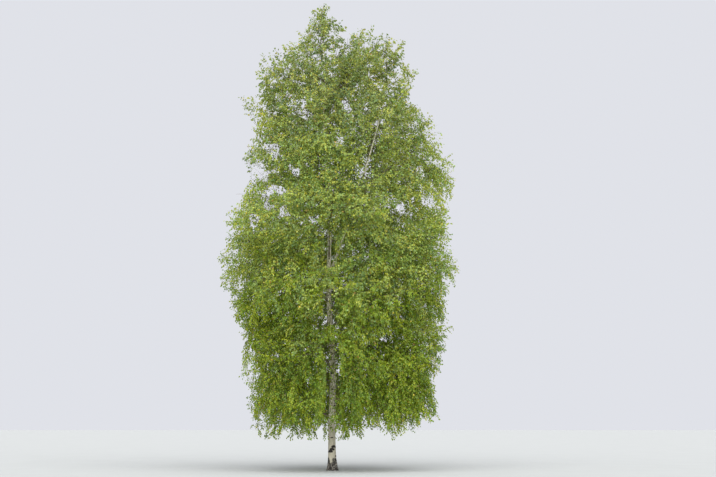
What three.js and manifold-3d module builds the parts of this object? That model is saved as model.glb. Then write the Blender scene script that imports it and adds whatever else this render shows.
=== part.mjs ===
// Silver birch tree, 17 m tall, grown in the open: a white trunk with a root flare, a second leader that leaves
// it low in the crown, boughs set round both in a spiral, and a mass of hanging sprays at the end of each.
// Higher up, where the boughs are thin, a mass stands straight on the trunk or the leader.
// Millimetres, +Z up. The origin is the middle of the flat cut under the trunk, at ground level.
// +X is to the right and +Y away from someone who sees the second leader lean to the right.

import * as THREE from "three";
import { mergeVertices } from "three/addons/utils/BufferGeometryUtils.js";
import Module from "manifold-3d";

const wasm = await Module();
wasm.setup();

// The whole tree
const TREE_HEIGHT = 17100; // ground to the tips of the leading shoots
const LOWEST_LEAF = 1200; // the drooping sprays stop this far above the ground
const CLEARANCE = 0.3; // between two pieces that meet

// Trunk
const TRUNK_TOP = 15900; // where the trunk's tip enters the topmost mass
const TRUNK_RADIUS = 134; // at the ground, without the root flare
const TRUNK_TAPER = 1.05; // over 1 thins the trunk a little faster low down
const TRUNK_TIP_RADIUS = 8;
const TRUNK_SIDES = 12;
const TRUNK_RINGS = 16;
const RING_CROWDING = 1.8; // over 1 sets the rings closer together at the foot, where the flare is
const FLARE_RADIUS = 66; // what the root flare adds at the ground
const FLARE_HEIGHT = 230; // the height in which the flare falls to about a third
const FLARE_LOBES = 5;
const LOBE_DEPTH = 0.3; // of the flare
const LEAN = 540; // how far the top has moved to the left
const SWAY = 55; // of the slow curves in the trunk, to each side
const SWAY_LENGTH = 5600; // of one whole curve
const SWAY_START = 3000; // from here up the curves are full size

// Second leader, from the trunk to the crown's right-hand peak
const LEADER_FOOT_HEIGHT = 6700;
const LEADER_TOP = { x: 2150, y: -620, z: 14500 };
const LEADER_BOW = 330; // how far it bends out from the straight line, upwards
const LEADER_RADIUS = 48;
const LEADER_TIP_RADIUS = 11;
const LEADER_SIDES = 7;
const LEADER_RINGS = 11;

// Boughs: a spiral round the trunk, and a short one round the leader. Angles are counted from +X, in degrees.
const TRUNK_BOUGHS = 15;
const LOWEST_BOUGH = 1750;
const HIGHEST_BOUGH = 8900;
const SPIRAL_START = 200;
const SPIRAL_STEP = 137.5;
const LEADER_BOUGHS = 3;
const LEADER_BOUGH_PLACES = { first: 0.22, last: 0.5 }; // of the leader's length
const LEADER_SPIRAL_START = -62;
const LEADER_SPIRAL_STEP = 71;
const BOUGH_SHARE = 0.38; // of the crown's radius: there the bough enters its mass
const SHORTEST_BOUGH = 500;
const BOUGH_THICKNESS = { trunk: 0.36, leader: 0.58 }; // of the stem's radius where the bough leaves it
const THINNEST_BOUGH = 17; // radius at its foot
const BOUGH_TAPER = 0.45; // radius at the tip, of that at the foot
const BOUGH_SIDES = 5;
const BOUGH_RINGS = 4;
const BOUGH_GAP = 90; // from a bough to any other limb
const FREE_START = 200; // the gap isn't asked for on this first stretch, near the stem
const TURN_ASIDE = 13; // a bough that would come too near another limb turns aside by this much, and again
const TURNS = 12;

// Masses that stand straight on the trunk or the leader, or on the tip of one
const TRUNK_SHOOTS = 13;
const LOWEST_TRUNK_SHOOT = 9300;
const HIGHEST_TRUNK_SHOOT = 15400;
const LEADER_SHOOTS = 5;
const LEADER_SHOOT_PLACES = { first: 0.58, last: 0.88 }; // of the leader's length
const TRUNK_TIP_LENGTH = 600; // of the stem on the tip, without its last spray
const LEADER_TIP_LENGTH = 400;

// How a limb rises, in degrees from level, and bends down again, in degrees a metre, low and high in the crown
const RISE = { low: 34, high: 62 };
const RISE_CHANGE = 5; // to each side
const BEND = { low: 21, high: 5 };
const STEP = 100; // a line grows by this much at a time
const LONGEST_LINE = 5200;

// Foliage: a stem with side twigs that end in a leafy spray, and more sprays on both. A spray stands for a
// hanging branchlet with its leaves. It is a flat spindle: a point at its root, a fold at its widest place and
// a point at its tip.
const STEM_RADIUS = 15;
const STEM_TIP_RADIUS = 8;
const STEM_RINGS = 3;
const STEM_REACH = 0.9; // of the crown's radius
const TWIGS_A_MASS = 4;
const TWIG_PLACES = { first: 0.1, last: 0.8 }; // of the stem's length
const TWIG_LENGTH = 1250;
const SHORTEST_TWIG = 300;
const TWIG_RADIUS = 10;
const TWIG_RINGS = 2;
const TWIG_BEND = 24; // degrees a metre
const TWIG_SPREAD = 62; // degrees to either side of its stem
const SPRAYS_ON_STEM = 3;
const SPRAYS_ON_TWIG = 3;
const SPRAY_PLACES = { stem: 0.12, twig: 0.3, last: 0.95 }; // of the length of what they stand on
const SPRAY_LENGTH = 1500;
const SPRAY_WIDTH = 0.62; // of its length
const SPRAY_FOLD = 0.035; // of its length: how far the middle stands over the edges
const SPRAY_WIDEST = 0.42; // of its length, from its root
const SPRAY_SPREAD = 60; // degrees to either side of what it stands on
const SPRAY_HANG = { low: -66, high: -20 }; // degrees from level, low and high in the crown
const SPRAY_RISE = 28; // degrees from level, for every third spray
const SPRAY_TRIES = 12;
const SAG = 350; // a mass hangs round a line this far below its stem
const OWN_SPACE_GAP = 60; // between the space of one mass and the next
const LIMB_GAP = 62; // from a spray to the limbs and the stems that it passes

// How each side twig leaves its stem in turn: to a side as a share of the spread, and up by degrees
const TWIG_WAYS = [
  { turn: 1, lift: -8 },
  { turn: -1, lift: 6 },
  { turn: 0.35, lift: 58 },
  { turn: -1, lift: -42 },
  { turn: 1, lift: 30 },
];

// The crown's radius to the left and right of the trunk as [height, radius], both in millimetres
const LEFT_PROFILE = [
  [1250, 2200], [2000, 2800], [4400, 3200], [6600, 3500], [7900, 4000], [9400, 3800], [10200, 3050],
  [12000, 3150], [12900, 2500], [13800, 2700], [14800, 2150], [15500, 1600], [16200, 850], [17100, 260],
];
const RIGHT_PROFILE = [
  [1250, 2400], [1900, 3200], [3700, 4050], [5700, 4500], [8200, 4550], [11700, 4250], [12800, 3900],
  [13600, 3350], [15400, 3450], [15900, 3100], [16250, 1700], [16600, 600], [17100, 260],
];
const DEPTH_SHARE = 0.9; // the crown's radius to the front and back, of the mean of the two sides

const UP = new THREE.Vector3(0, 0, 1);
const rad = THREE.MathUtils.degToRad;
const mix = THREE.MathUtils.lerp;
const clamp = THREE.MathUtils.clamp;

// A number from 0 to 1 that looks random and is the same every time for the same three whole numbers.
function chance(mass, item, channel) {
  const wave = Math.sin(mass * 127.1 + item * 311.7 + channel * 74.7 + 1.3) * 43758.5453;
  return wave - Math.floor(wave);
}

function jitter(mass, item, channel, size) {
  return (2 * chance(mass, item, channel) - 1) * size;
}

// Reads a profile of [height, value] pairs at a height, in straight lines between the pairs.
function readProfile(profile, height) {
  if (height <= profile[0][0]) return profile[0][1];
  for (let i = 1; i < profile.length; i++) {
    const [top, value] = profile[i];
    const [foot, before] = profile[i - 1];
    if (height <= top) return mix(before, value, (height - foot) / (top - foot));
  }
  return profile[profile.length - 1][1];
}

// The middle of the trunk at a height: it leans to the left, in slow curves that fade out towards the foot.
function trunkMiddle(height) {
  const fade = clamp(height / SWAY_START, 0, 1);
  const wave = (2 * Math.PI * height) / SWAY_LENGTH;
  const lean = LEAN * Math.max(height / TREE_HEIGHT, 0) ** 1.6;
  const x = -lean - fade * SWAY * Math.sin(wave + 0.9);
  const y = fade * SWAY * Math.cos(0.8 * wave + 0.4);
  return new THREE.Vector3(x, y, height);
}

function trunkRadius(height) {
  const left = clamp(1 - height / TRUNK_TOP, 0, 1);
  return TRUNK_TIP_RADIUS + (TRUNK_RADIUS - TRUNK_TIP_RADIUS) * left ** TRUNK_TAPER;
}

function flareRadius(height, angle) {
  const lobes = 1 + LOBE_DEPTH * Math.cos(FLARE_LOBES * angle + 0.7);
  return FLARE_RADIUS * Math.exp(-height / FLARE_HEIGHT) * lobes;
}

// The crown's radius at a height in one direction, as a quarter of an ellipse between side and front.
function crownRadius(height, azimuth) {
  const left = readProfile(LEFT_PROFILE, height);
  const right = readProfile(RIGHT_PROFILE, height);
  const side = Math.cos(azimuth) > 0 ? right : left;
  const depth = (DEPTH_SHARE * (left + right)) / 2;
  return 1 / Math.hypot(Math.cos(azimuth) / side, Math.sin(azimuth) / depth);
}

// How far a point lies from the trunk's middle, as a share of the crown's radius there.
function crownShare(point) {
  const middle = trunkMiddle(point.z);
  const x = point.x - middle.x;
  const y = point.y - middle.y;
  return Math.hypot(x, y) / crownRadius(point.z, Math.atan2(y, x));
}

function sideways(azimuth) {
  return new THREE.Vector3(-Math.sin(azimuth), Math.cos(azimuth), 0);
}

function heading(azimuth, elevation) {
  return new THREE.Vector3(
    Math.cos(elevation) * Math.cos(azimuth),
    Math.cos(elevation) * Math.sin(azimuth),
    Math.sin(elevation),
  );
}

// A line that grows from a point in steps, bending down as it goes, until stop() says so.
function growLine(start, azimuth, elevation, bend, stop) {
  const line = [start.clone()];
  const steps = LONGEST_LINE / STEP;
  for (let i = 0; i < steps; i++) {
    const rise = elevation - bend * ((i * STEP) / 1000);
    const next = line[line.length - 1].clone().addScaledVector(heading(azimuth, rise), STEP);
    line.push(next);
    if (stop(next, line.length - 1)) break;
  }
  return line;
}

function evenly(count, make) {
  return Array.from({ length: count }, (_, i) => make(count > 1 ? i / (count - 1) : 0));
}

// The point at a share of the way along a line of points.
function pointAlong(line, share) {
  const place = clamp(share, 0, 1) * (line.length - 1);
  const before = Math.min(Math.floor(place), line.length - 2);
  return line[before].clone().lerp(line[before + 1], place - before);
}

function directionAlong(line, share) {
  const from = pointAlong(line, share - 0.02);
  return pointAlong(line, share + 0.02).sub(from).normalize();
}

// Moves the rings of a unit cylinder or cone to the points of a line. section(ring, x, z) gives the place of a
// corner beside and above the point. across is level and square to the line's vertical plane, so the rings
// don't twist. first and last are the directions that the end faces look along, where another piece meets them
// face to face, and root is the place of the middle of the first end.
function sweep(geometry, points, across, section, { first, last, root } = {}) {
  const rings = points.length - 1;
  const position = geometry.getAttribute("position");
  const unit = new THREE.Vector3();
  for (let i = 0; i < position.count; i++) {
    unit.fromBufferAttribute(position, i);
    const ring = Math.round((unit.y + 0.5) * rings);
    let tangent = points[Math.min(ring + 1, rings)].clone().sub(points[Math.max(ring - 1, 0)]).normalize();
    if (ring === 0 && first) tangent = first;
    if (ring === rings && last) tangent = last;
    const over = new THREE.Vector3().crossVectors(across, tangent).normalize();
    const place = points[ring].clone();
    const size = Math.hypot(unit.x, unit.z);
    if (size > 0.001) {
      const corner = section(ring, unit.x / size, unit.z / size);
      place.addScaledVector(across, corner.beside).addScaledVector(over, corner.above);
    } else if (ring === 0 && root) {
      place.copy(root);
    }
    position.setXYZ(i, place.x, place.y, place.z);
  }
  return geometry;
}

// A closed tapering round solid on a line of points.
function taperedTube(points, radiusOf, across, sides, ends) {
  const rings = points.length - 1;
  const round = (ring, x, z) => ({ beside: x * radiusOf(ring / rings), above: z * radiusOf(ring / rings) });
  return sweep(new THREE.CylinderGeometry(1, 1, 1, sides, rings), points, across, round, ends);
}

// A three-sided solid on a line of points that ends in a point. Each ring but the last has a half width and a
// height: the two are the same on a twig, and far apart where a spray is widest.
function bladedTube(points, rings, across, ends) {
  const flat = (ring, x, z) => ({ beside: x * rings[ring].half, above: z * rings[ring].height });
  return sweep(new THREE.ConeGeometry(1, 1, 3, points.length - 1), points, across, flat, ends);
}

// The ring of a spray at its widest place: the corners of a three-sided ring stand at 30 degrees below level.
function sprayRing(length) {
  const half = (SPRAY_WIDTH * length) / 2 / Math.cos(rad(30));
  const height = (SPRAY_FOLD * length) / (1 + Math.sin(rad(30)));
  return { half, height };
}

function solidOf(geometry) {
  const bare = geometry.clone();
  bare.deleteAttribute("normal");
  bare.deleteAttribute("uv");
  const merged = mergeVertices(bare, 0.01);
  const solid = new wasm.Manifold(
    new wasm.Mesh({
      numProp: 3,
      vertProperties: new Float32Array(merged.getAttribute("position").array),
      triVerts: new Uint32Array(merged.index.array),
    }),
  );
  if (solid.volume() <= 0) throw new Error("a piece is inside out");
  return solid;
}

// The largest piece of a solid: loose scraps and sealed hollows are dropped.
function soundPiece(solid) {
  const pieces = solid.decompose();
  return pieces.reduce((a, b) => (b.volume() > a.volume() ? b : a));
}

function geometryOf(solid) {
  const mesh = solid.getMesh();
  const geometry = new THREE.BufferGeometry();
  geometry.setAttribute("position", new THREE.BufferAttribute(new Float32Array(mesh.vertProperties), 3));
  geometry.setIndex(new THREE.BufferAttribute(new Uint32Array(mesh.triVerts), 1));
  geometry.computeVertexNormals();
  return geometry;
}

// Trunk: level rings on the leaning line, with the root flare in lobes
const trunkLine = evenly(TRUNK_RINGS + 1, (share) => trunkMiddle(TRUNK_TOP * share ** RING_CROWDING));

function trunkGeometry(extra) {
  const geometry = new THREE.CylinderGeometry(1, 1, 1, TRUNK_SIDES, TRUNK_RINGS);
  const position = geometry.getAttribute("position");
  const unit = new THREE.Vector3();
  for (let i = 0; i < position.count; i++) {
    unit.fromBufferAttribute(position, i);
    const middle = trunkLine[Math.round((unit.y + 0.5) * TRUNK_RINGS)];
    const angle = Math.atan2(-unit.z, unit.x);
    const radius = trunkRadius(middle.z) + flareRadius(middle.z, angle) + extra;
    position.setXYZ(i, middle.x + radius * unit.x, middle.y - radius * unit.z, middle.z);
  }
  return geometry;
}

// Second leader: out from the trunk, then more and more upright
const leaderFoot = trunkMiddle(LEADER_FOOT_HEIGHT);
const leaderTop = new THREE.Vector3(LEADER_TOP.x, LEADER_TOP.y, LEADER_TOP.z);
const leaderAzimuth = Math.atan2(leaderTop.y - leaderFoot.y, leaderTop.x - leaderFoot.x);
const leaderMiddle = leaderFoot.clone().lerp(leaderTop, 0.5);
leaderMiddle.addScaledVector(heading(leaderAzimuth, rad(-20)), LEADER_BOW);
const leaderLine = new THREE.QuadraticBezierCurve3(leaderFoot, leaderMiddle, leaderTop).getPoints(40);
const leaderEnd = directionAlong(leaderLine, 1);

function leaderRadius(share) {
  return mix(LEADER_RADIUS, LEADER_TIP_RADIUS, share);
}

function leaderGeometry(extra) {
  const points = evenly(LEADER_RINGS + 1, (share) => pointAlong(leaderLine, share));
  const radiusOf = (share) => leaderRadius(share) + extra;
  return taperedTube(points, radiusOf, sideways(leaderAzimuth), LEADER_SIDES, { last: leaderEnd });
}

// What stands on the trunk or the leader is cut by it with room round it. The flats of a many-sided ring lie
// nearer its middle than its corners, so the room is a little more than the clearance.
const ROOM = CLEARANCE / Math.cos(Math.PI / LEADER_SIDES);
const trunkRoom = solidOf(trunkGeometry(ROOM));
const leaderRoom = solidOf(leaderGeometry(ROOM));

// Every limb's line and radius, for the clearance of what grows near it
const limbs = [
  { line: trunkLine, radius: (share) => trunkRadius(TRUNK_TOP * share ** RING_CROWDING) },
  { line: leaderLine, radius: leaderRadius },
];

const stretch = new THREE.Line3();
const nearest = new THREE.Vector3();

// The shortest way from a point to a limb's surface.
function gapTo(limb, point) {
  let least = Infinity;
  for (let i = 1; i < limb.line.length; i++) {
    stretch.set(limb.line[i - 1], limb.line[i]).closestPointToPoint(point, true, nearest);
    const share = i / (limb.line.length - 1);
    least = Math.min(least, nearest.distanceTo(point) - limb.radius(share));
  }
  return least;
}

// The line of a bough and of the stem that carries on from its tip.
function crownLine(start, azimuth, number) {
  const high = clamp((start.z - LOWEST_BOUGH) / (HIGHEST_TRUNK_SHOOT - LOWEST_BOUGH), 0, 1);
  const elevation = rad(mix(RISE.low, RISE.high, high) + jitter(number, 0, 1, RISE_CHANGE));
  const bend = rad(mix(BEND.low, BEND.high, high));
  return growLine(start, azimuth, elevation, bend, (point) => crownShare(point) > STEM_REACH);
}

// The place in a line where the bough ends and its mass begins.
function boughEnd(line) {
  const share = Math.max(BOUGH_SHARE, crownShare(line[0]) + 0.2);
  const end = line.findIndex((point) => crownShare(point) > share);
  return clamp(end, SHORTEST_BOUGH / STEP, line.length - 1 - SHORTEST_BOUGH / STEP);
}

const boughs = [];
const masses = [];

// A bough with its mass, in the first direction that is clear of the other limbs. stem has the limb that it
// stands on, that limb's name and its solid with room round it.
function addBough(name, stem, start, firstAzimuth, stemRadius) {
  const number = masses.length + 1;
  const others = limbs.filter((limb) => limb !== stem.limb);
  for (let turn = 0; turn < TURNS; turn++) {
    const aside = rad(TURN_ASIDE) * Math.ceil(turn / 2) * (turn % 2 ? 1 : -1);
    const azimuth = firstAzimuth + aside;
    const line = crownLine(start, azimuth, number);
    const end = boughEnd(line);
    const wood = line.slice(0, end + 1);
    const free = wood.slice(FREE_START / STEP);
    if (!others.every((limb) => free.every((point) => gapTo(limb, point) > BOUGH_GAP))) continue;
    const foot = Math.max(BOUGH_THICKNESS[stem.name] * stemRadius, THINNEST_BOUGH);
    const radius = (share) => mix(foot, BOUGH_TAPER * foot, share);
    const limb = { line: wood, radius };
    const joint = line[end + 1].clone().sub(line[end - 1]).normalize();
    limbs.push(limb);
    boughs.push({ name: name("bough"), limb, azimuth, joint, room: stem.room });
    masses.push({ name: name("foliage"), line: line.slice(end), azimuth, number, foot: radius(1), joint });
    return;
  }
  throw new Error(name("bough") + " finds no clear direction");
}

// A mass whose stem stands straight on the trunk or the leader.
function addShoot(name, stem, start, azimuth, stemRadius) {
  const number = masses.length + 1;
  const foot = 0.8 * stemRadius;
  masses.push({ name, line: crownLine(start, azimuth, number), azimuth, number, foot, room: stem.room });
}

// A mass on the tip of the trunk or the leader: its stem goes straight on from the limb's end face.
function addTip(name, line, joint, azimuth, foot, length) {
  const number = masses.length + 1;
  const end = line[line.length - 1];
  const steps = length / STEP;
  const stem = evenly(steps + 1, (share) => end.clone().addScaledVector(joint, share * length));
  const endElevation = Math.asin(joint.z);
  masses.push({ name, line: stem, azimuth, number, foot, joint, endElevation });
}

function twoDigits(number) {
  return String(number).padStart(2, "0");
}

const trunk = { name: "trunk", limb: limbs[0], room: trunkRoom };
const leader = { name: "leader", limb: limbs[1], room: leaderRoom };

for (let i = 0; i < TRUNK_BOUGHS; i++) {
  const height = mix(LOWEST_BOUGH, HIGHEST_BOUGH, i / (TRUNK_BOUGHS - 1));
  const azimuth = rad(SPIRAL_START + SPIRAL_STEP * i);
  const name = (kind) => kind + "_" + twoDigits(i + 1);
  addBough(name, trunk, trunkMiddle(height), azimuth, trunkRadius(height));
}

for (let i = 0; i < LEADER_BOUGHS; i++) {
  const share = mix(LEADER_BOUGH_PLACES.first, LEADER_BOUGH_PLACES.last, i / (LEADER_BOUGHS - 1));
  const azimuth = rad(LEADER_SPIRAL_START + LEADER_SPIRAL_STEP * i);
  const name = (kind) => "leader_" + kind + "_" + (i + 1);
  addBough(name, leader, pointAlong(leaderLine, share), azimuth, leaderRadius(share));
}

for (let i = 0; i < TRUNK_SHOOTS; i++) {
  const height = mix(LOWEST_TRUNK_SHOOT, HIGHEST_TRUNK_SHOOT, i / (TRUNK_SHOOTS - 1));
  const azimuth = rad(SPIRAL_START + SPIRAL_STEP * (TRUNK_BOUGHS + i));
  addShoot("upper_foliage_" + twoDigits(i + 1), trunk, trunkMiddle(height), azimuth, trunkRadius(height));
}

for (let i = 0; i < LEADER_SHOOTS; i++) {
  const share = mix(LEADER_SHOOT_PLACES.first, LEADER_SHOOT_PLACES.last, i / (LEADER_SHOOTS - 1));
  const azimuth = rad(LEADER_SPIRAL_START + SPIRAL_STEP * (i + 1));
  const name = "leader_foliage_" + (LEADER_BOUGHS + 1 + i);
  addShoot(name, leader, pointAlong(leaderLine, share), azimuth, leaderRadius(share));
}

addTip("trunk_tip_foliage", trunkLine, UP, 0, TRUNK_TIP_RADIUS, TRUNK_TIP_LENGTH);
addTip("leader_tip_foliage", leaderLine, leaderEnd, leaderAzimuth, LEADER_TIP_RADIUS, LEADER_TIP_LENGTH);

// Each mass's stem, and the line below it that the mass hangs round
const stems = masses.map((mass) => ({ line: mass.line, radius: () => STEM_RADIUS }));
const hangers = masses.map((mass) => {
  const sag = mass.endElevation ? 0 : SAG;
  return { line: mass.line.map((point) => point.clone().addScaledVector(UP, -sag)), radius: () => 0 };
});

// A point lies in a mass's own space where the line that this mass hangs round is the nearest one.
function inOwnSpace(point, mass) {
  if (point.z < LOWEST_LEAF || point.z > TREE_HEIGHT || crownShare(point) > 1) return false;
  const own = gapTo(hangers[mass.number - 1], point) + OWN_SPACE_GAP;
  return hangers.every((hanger, i) => i === mass.number - 1 || gapTo(hanger, point) > own);
}

function clearOfLimbs(point, mass) {
  const passed = stems.filter((_, i) => i !== mass.number - 1);
  return [...limbs, ...passed].every((limb) => gapTo(limb, point) > LIMB_GAP);
}

function fits(points, mass) {
  return points.every((point) => inOwnSpace(point, mass) && clearOfLimbs(point, mass));
}

// Points spread over a spray, close enough together that no limb passes between them.
function sprayPoints(root, along, beside, length) {
  const points = [];
  for (let i = 1; i <= 10; i++) {
    const share = i / 10;
    const spread = share < SPRAY_WIDEST ? share / SPRAY_WIDEST : (1 - share) / (1 - SPRAY_WIDEST);
    for (const side of [-1, -0.5, 0, 0.5, 1]) {
      const point = root.clone().addScaledVector(along, share * length);
      points.push(point.addScaledVector(beside, (side * spread * SPRAY_WIDTH * length) / 2));
    }
  }
  return points;
}

// Which way the face of a spray looks: outwards and a little up, far from the same for all.
function facingOf(root, mass, item) {
  const outward = new THREE.Vector3(root.x, root.y, 0).sub(trunkMiddle(root.z).setZ(0)).normalize();
  outward.x += jitter(mass.number, item, 70, 0.9);
  outward.y += jitter(mass.number, item, 71, 0.9);
  outward.z += 0.3 + jitter(mass.number, item, 72, 0.6);
  return outward;
}

// Places one spray on a twig: of the turned and shortened ones that fit its mass's space, a long one that
// stands far from the sprays already there. With none that fits, it is left out.
function placeSpray(mass, item, twig, share, azimuth, elevation, placed) {
  const start = pointAlong(twig.points, share);
  const facing = facingOf(start, mass, item);
  let best = null;
  for (let attempt = 0; attempt < SPRAY_TRIES; attempt++) {
    const turn = jitter(mass.number, item, 20 + attempt, rad(16 + 8 * attempt));
    const lift = jitter(mass.number, item, 40 + attempt, rad(12 + 5 * attempt));
    const along = heading(azimuth + turn, clamp(elevation + lift, rad(-86), rad(80)));
    const length = SPRAY_LENGTH * (1 - 0.045 * attempt + jitter(mass.number, item, 60, 0.1));
    const beside = new THREE.Vector3().crossVectors(facing, along).normalize();
    const root = start.clone().addScaledVector(along, -0.5 * twig.radius(share));
    const middle = root.clone().addScaledVector(along, 0.6 * length);
    const merit = length + Math.min(length, ...placed.map((other) => other.middle.distanceTo(middle)));
    if (best && merit <= best.merit) continue;
    if (!fits(sprayPoints(root, along, beside, length), mass)) continue;
    const widest = root.clone().addScaledVector(along, SPRAY_WIDEST * length);
    const tip = root.clone().addScaledVector(along, length);
    const solid = solidOf(bladedTube([widest, tip], [sprayRing(length)], beside, { root }));
    if (placed.every((other) => other.solid.intersect(solid).isEmpty())) best = { solid, merit, middle };
  }
  return best;
}

// The spray that a stem or a twig ends in: the longest that fits, turned aside where it has to be.
function endSpray(bearer, elevation, mass) {
  const from = bearer.line[bearer.line.length - 1];
  for (let share = 1; share > 0.4; share -= 0.1) {
    for (const turn of [0, 20, -20, 45, -45]) {
      const length = share * SPRAY_LENGTH;
      const along = heading(bearer.azimuth + rad(turn), elevation);
      if (!fits(sprayPoints(from, along, sideways(bearer.azimuth), length), mass)) continue;
      const widest = from.clone().addScaledVector(along, SPRAY_WIDEST * length);
      return { widest, tip: from.clone().addScaledVector(along, length), ring: sprayRing(length) };
    }
  }
  return null;
}

// The solid of a stem or a twig with its last spray. bearer.points is kept for the sprays that stand on it.
function bearerSolid(bearer, mass, elevation, ends) {
  const points = [...bearer.points];
  const radii = evenly(points.length, bearer.radius);
  const rings = radii.map((radius) => ({ half: radius, height: radius }));
  const spray = endSpray(bearer, elevation, mass);
  if (spray) {
    points.push(spray.widest, spray.tip);
    rings.push(spray.ring);
  }
  const solid = solidOf(bladedTube(points, rings, sideways(bearer.azimuth), ends));
  return { solid, middle: points[rings.length - 1] };
}

// One side twig, as long as its own space lets it grow, or none where that is too short.
function growTwig(mass, stem, index) {
  const share = mix(TWIG_PLACES.first, TWIG_PLACES.last, index / (TWIGS_A_MASS - 1));
  const way = TWIG_WAYS[(index + mass.number) % TWIG_WAYS.length];
  const stemElevation = Math.asin(clamp(directionAlong(stem.points, share).z, -1, 1));
  const azimuth = mass.azimuth + way.turn * rad(TWIG_SPREAD) + jitter(mass.number, index, 3, rad(16));
  const elevation = 0.5 * stemElevation + rad(way.lift) + jitter(mass.number, index, 4, rad(10));
  const length = TWIG_LENGTH * (1 - 0.25 * share);
  const stop = (point, steps) => steps * STEP > length || !fits([point], mass);
  const line = growLine(pointAlong(stem.points, share), azimuth, elevation, rad(TWIG_BEND), stop).slice(0, -1);
  if (line.length <= SHORTEST_TWIG / STEP) return null;
  const points = evenly(TWIG_RINGS + 1, (part) => pointAlong(line, part));
  return { line, points, azimuth, radius: (part) => mix(TWIG_RADIUS, 0.6 * TWIG_RADIUS, part) };
}

// One mass of foliage: the stem, its side twigs and the sprays on them, fused into one solid.
function massSolid(mass) {
  const foot = Math.min(mass.foot, STEM_RADIUS);
  const tip = Math.min(foot, STEM_TIP_RADIUS);
  const points = evenly(STEM_RINGS + 1, (share) => pointAlong(mass.line, share));
  if (mass.joint) points[0].addScaledVector(mass.joint, CLEARANCE);
  const stem = { line: mass.line, points, azimuth: mass.azimuth, radius: (share) => mix(foot, tip, share) };

  const hang = rad(mix(SPRAY_HANG.low, SPRAY_HANG.high, mass.line[0].z / TREE_HEIGHT));
  const sprays = [bearerSolid(stem, mass, mass.endElevation ?? 0.6 * hang, { first: mass.joint })];
  const bearers = [stem];
  for (let i = 0; i < TWIGS_A_MASS; i++) {
    const twig = growTwig(mass, stem, i);
    if (!twig) continue;
    sprays.push(bearerSolid(twig, mass, hang));
    bearers.push(twig);
  }

  bearers.forEach((bearer, b) => {
    const count = bearer === stem ? SPRAYS_ON_STEM : SPRAYS_ON_TWIG;
    const first = bearer === stem ? SPRAY_PLACES.stem : SPRAY_PLACES.twig;
    const others = sprays.filter((_, i) => i !== b);
    for (let k = 0; k < count; k++) {
      const share = mix(first, SPRAY_PLACES.last, k / (count - 1));
      const azimuth = bearer.azimuth + rad(SPRAY_SPREAD) * ((k + b) % 2 ? 1 : -1);
      const elevation = (k + b) % 3 === 1 ? rad(SPRAY_RISE) : hang;
      const spray = placeSpray(mass, b * 10 + k, bearer, share, azimuth, elevation, others);
      if (!spray) continue;
      sprays.push(spray);
      others.push(spray);
    }
  });

  const whole = wasm.Manifold.union(sprays.map((spray) => spray.solid));
  return soundPiece(mass.room ? whole.subtract(mass.room) : whole);
}

// Materials: papery white bark on the trunk and leader, grey-brown on the boughs, and three near greens
const finish = (color, roughness) => new THREE.MeshStandardMaterial({ color, roughness, metalness: 0 });
const whiteBark = finish(0xcfc9bd, 0.75);
const boughBark = finish(0x9a8c7c, 0.8);
const greens = [finish(0x6f8a35, 0.6), finish(0x7c9638, 0.6), finish(0x647f36, 0.6)];

const tree = new THREE.Group();
const wood = new THREE.Group();
const crown = new THREE.Group();
tree.add(wood, crown);

function addMesh(group, name, geometry, material) {
  const mesh = new THREE.Mesh(geometry, material);
  mesh.name = name;
  group.add(mesh);
}

addMesh(wood, "trunk", trunkGeometry(0), whiteBark);
const leaderSolid = soundPiece(solidOf(leaderGeometry(0)).subtract(trunkRoom));
addMesh(wood, "second_leader", geometryOf(leaderSolid), whiteBark);

for (const { name, limb, azimuth, room, joint } of boughs) {
  const points = evenly(BOUGH_RINGS + 1, (share) => pointAlong(limb.line, share));
  const tube = taperedTube(points, limb.radius, sideways(azimuth), BOUGH_SIDES, { last: joint });
  addMesh(wood, name, geometryOf(soundPiece(solidOf(tube).subtract(room))), boughBark);
}

for (const mass of masses) {
  addMesh(crown, mass.name, geometryOf(massSolid(mass)), greens[mass.number % greens.length]);
}

export default tree;
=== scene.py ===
# %% [markdown]
# # A silver birch in full leaf
# The real tree grew in the open and is about 17 m tall. It has a white trunk, a second leader that leaves it
# low in the crown, and leafy twigs that hang from long arching boughs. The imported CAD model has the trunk,
# the leader and the boughs at their true sizes, and a coarse mass of sprays at the end of each. This script
# puts real bark over the limbs, and grows branches, twigs and leaves on them by the rule that placed the
# masses. Everything is in metres, with +X to the right and +Y away from the camera.

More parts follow.
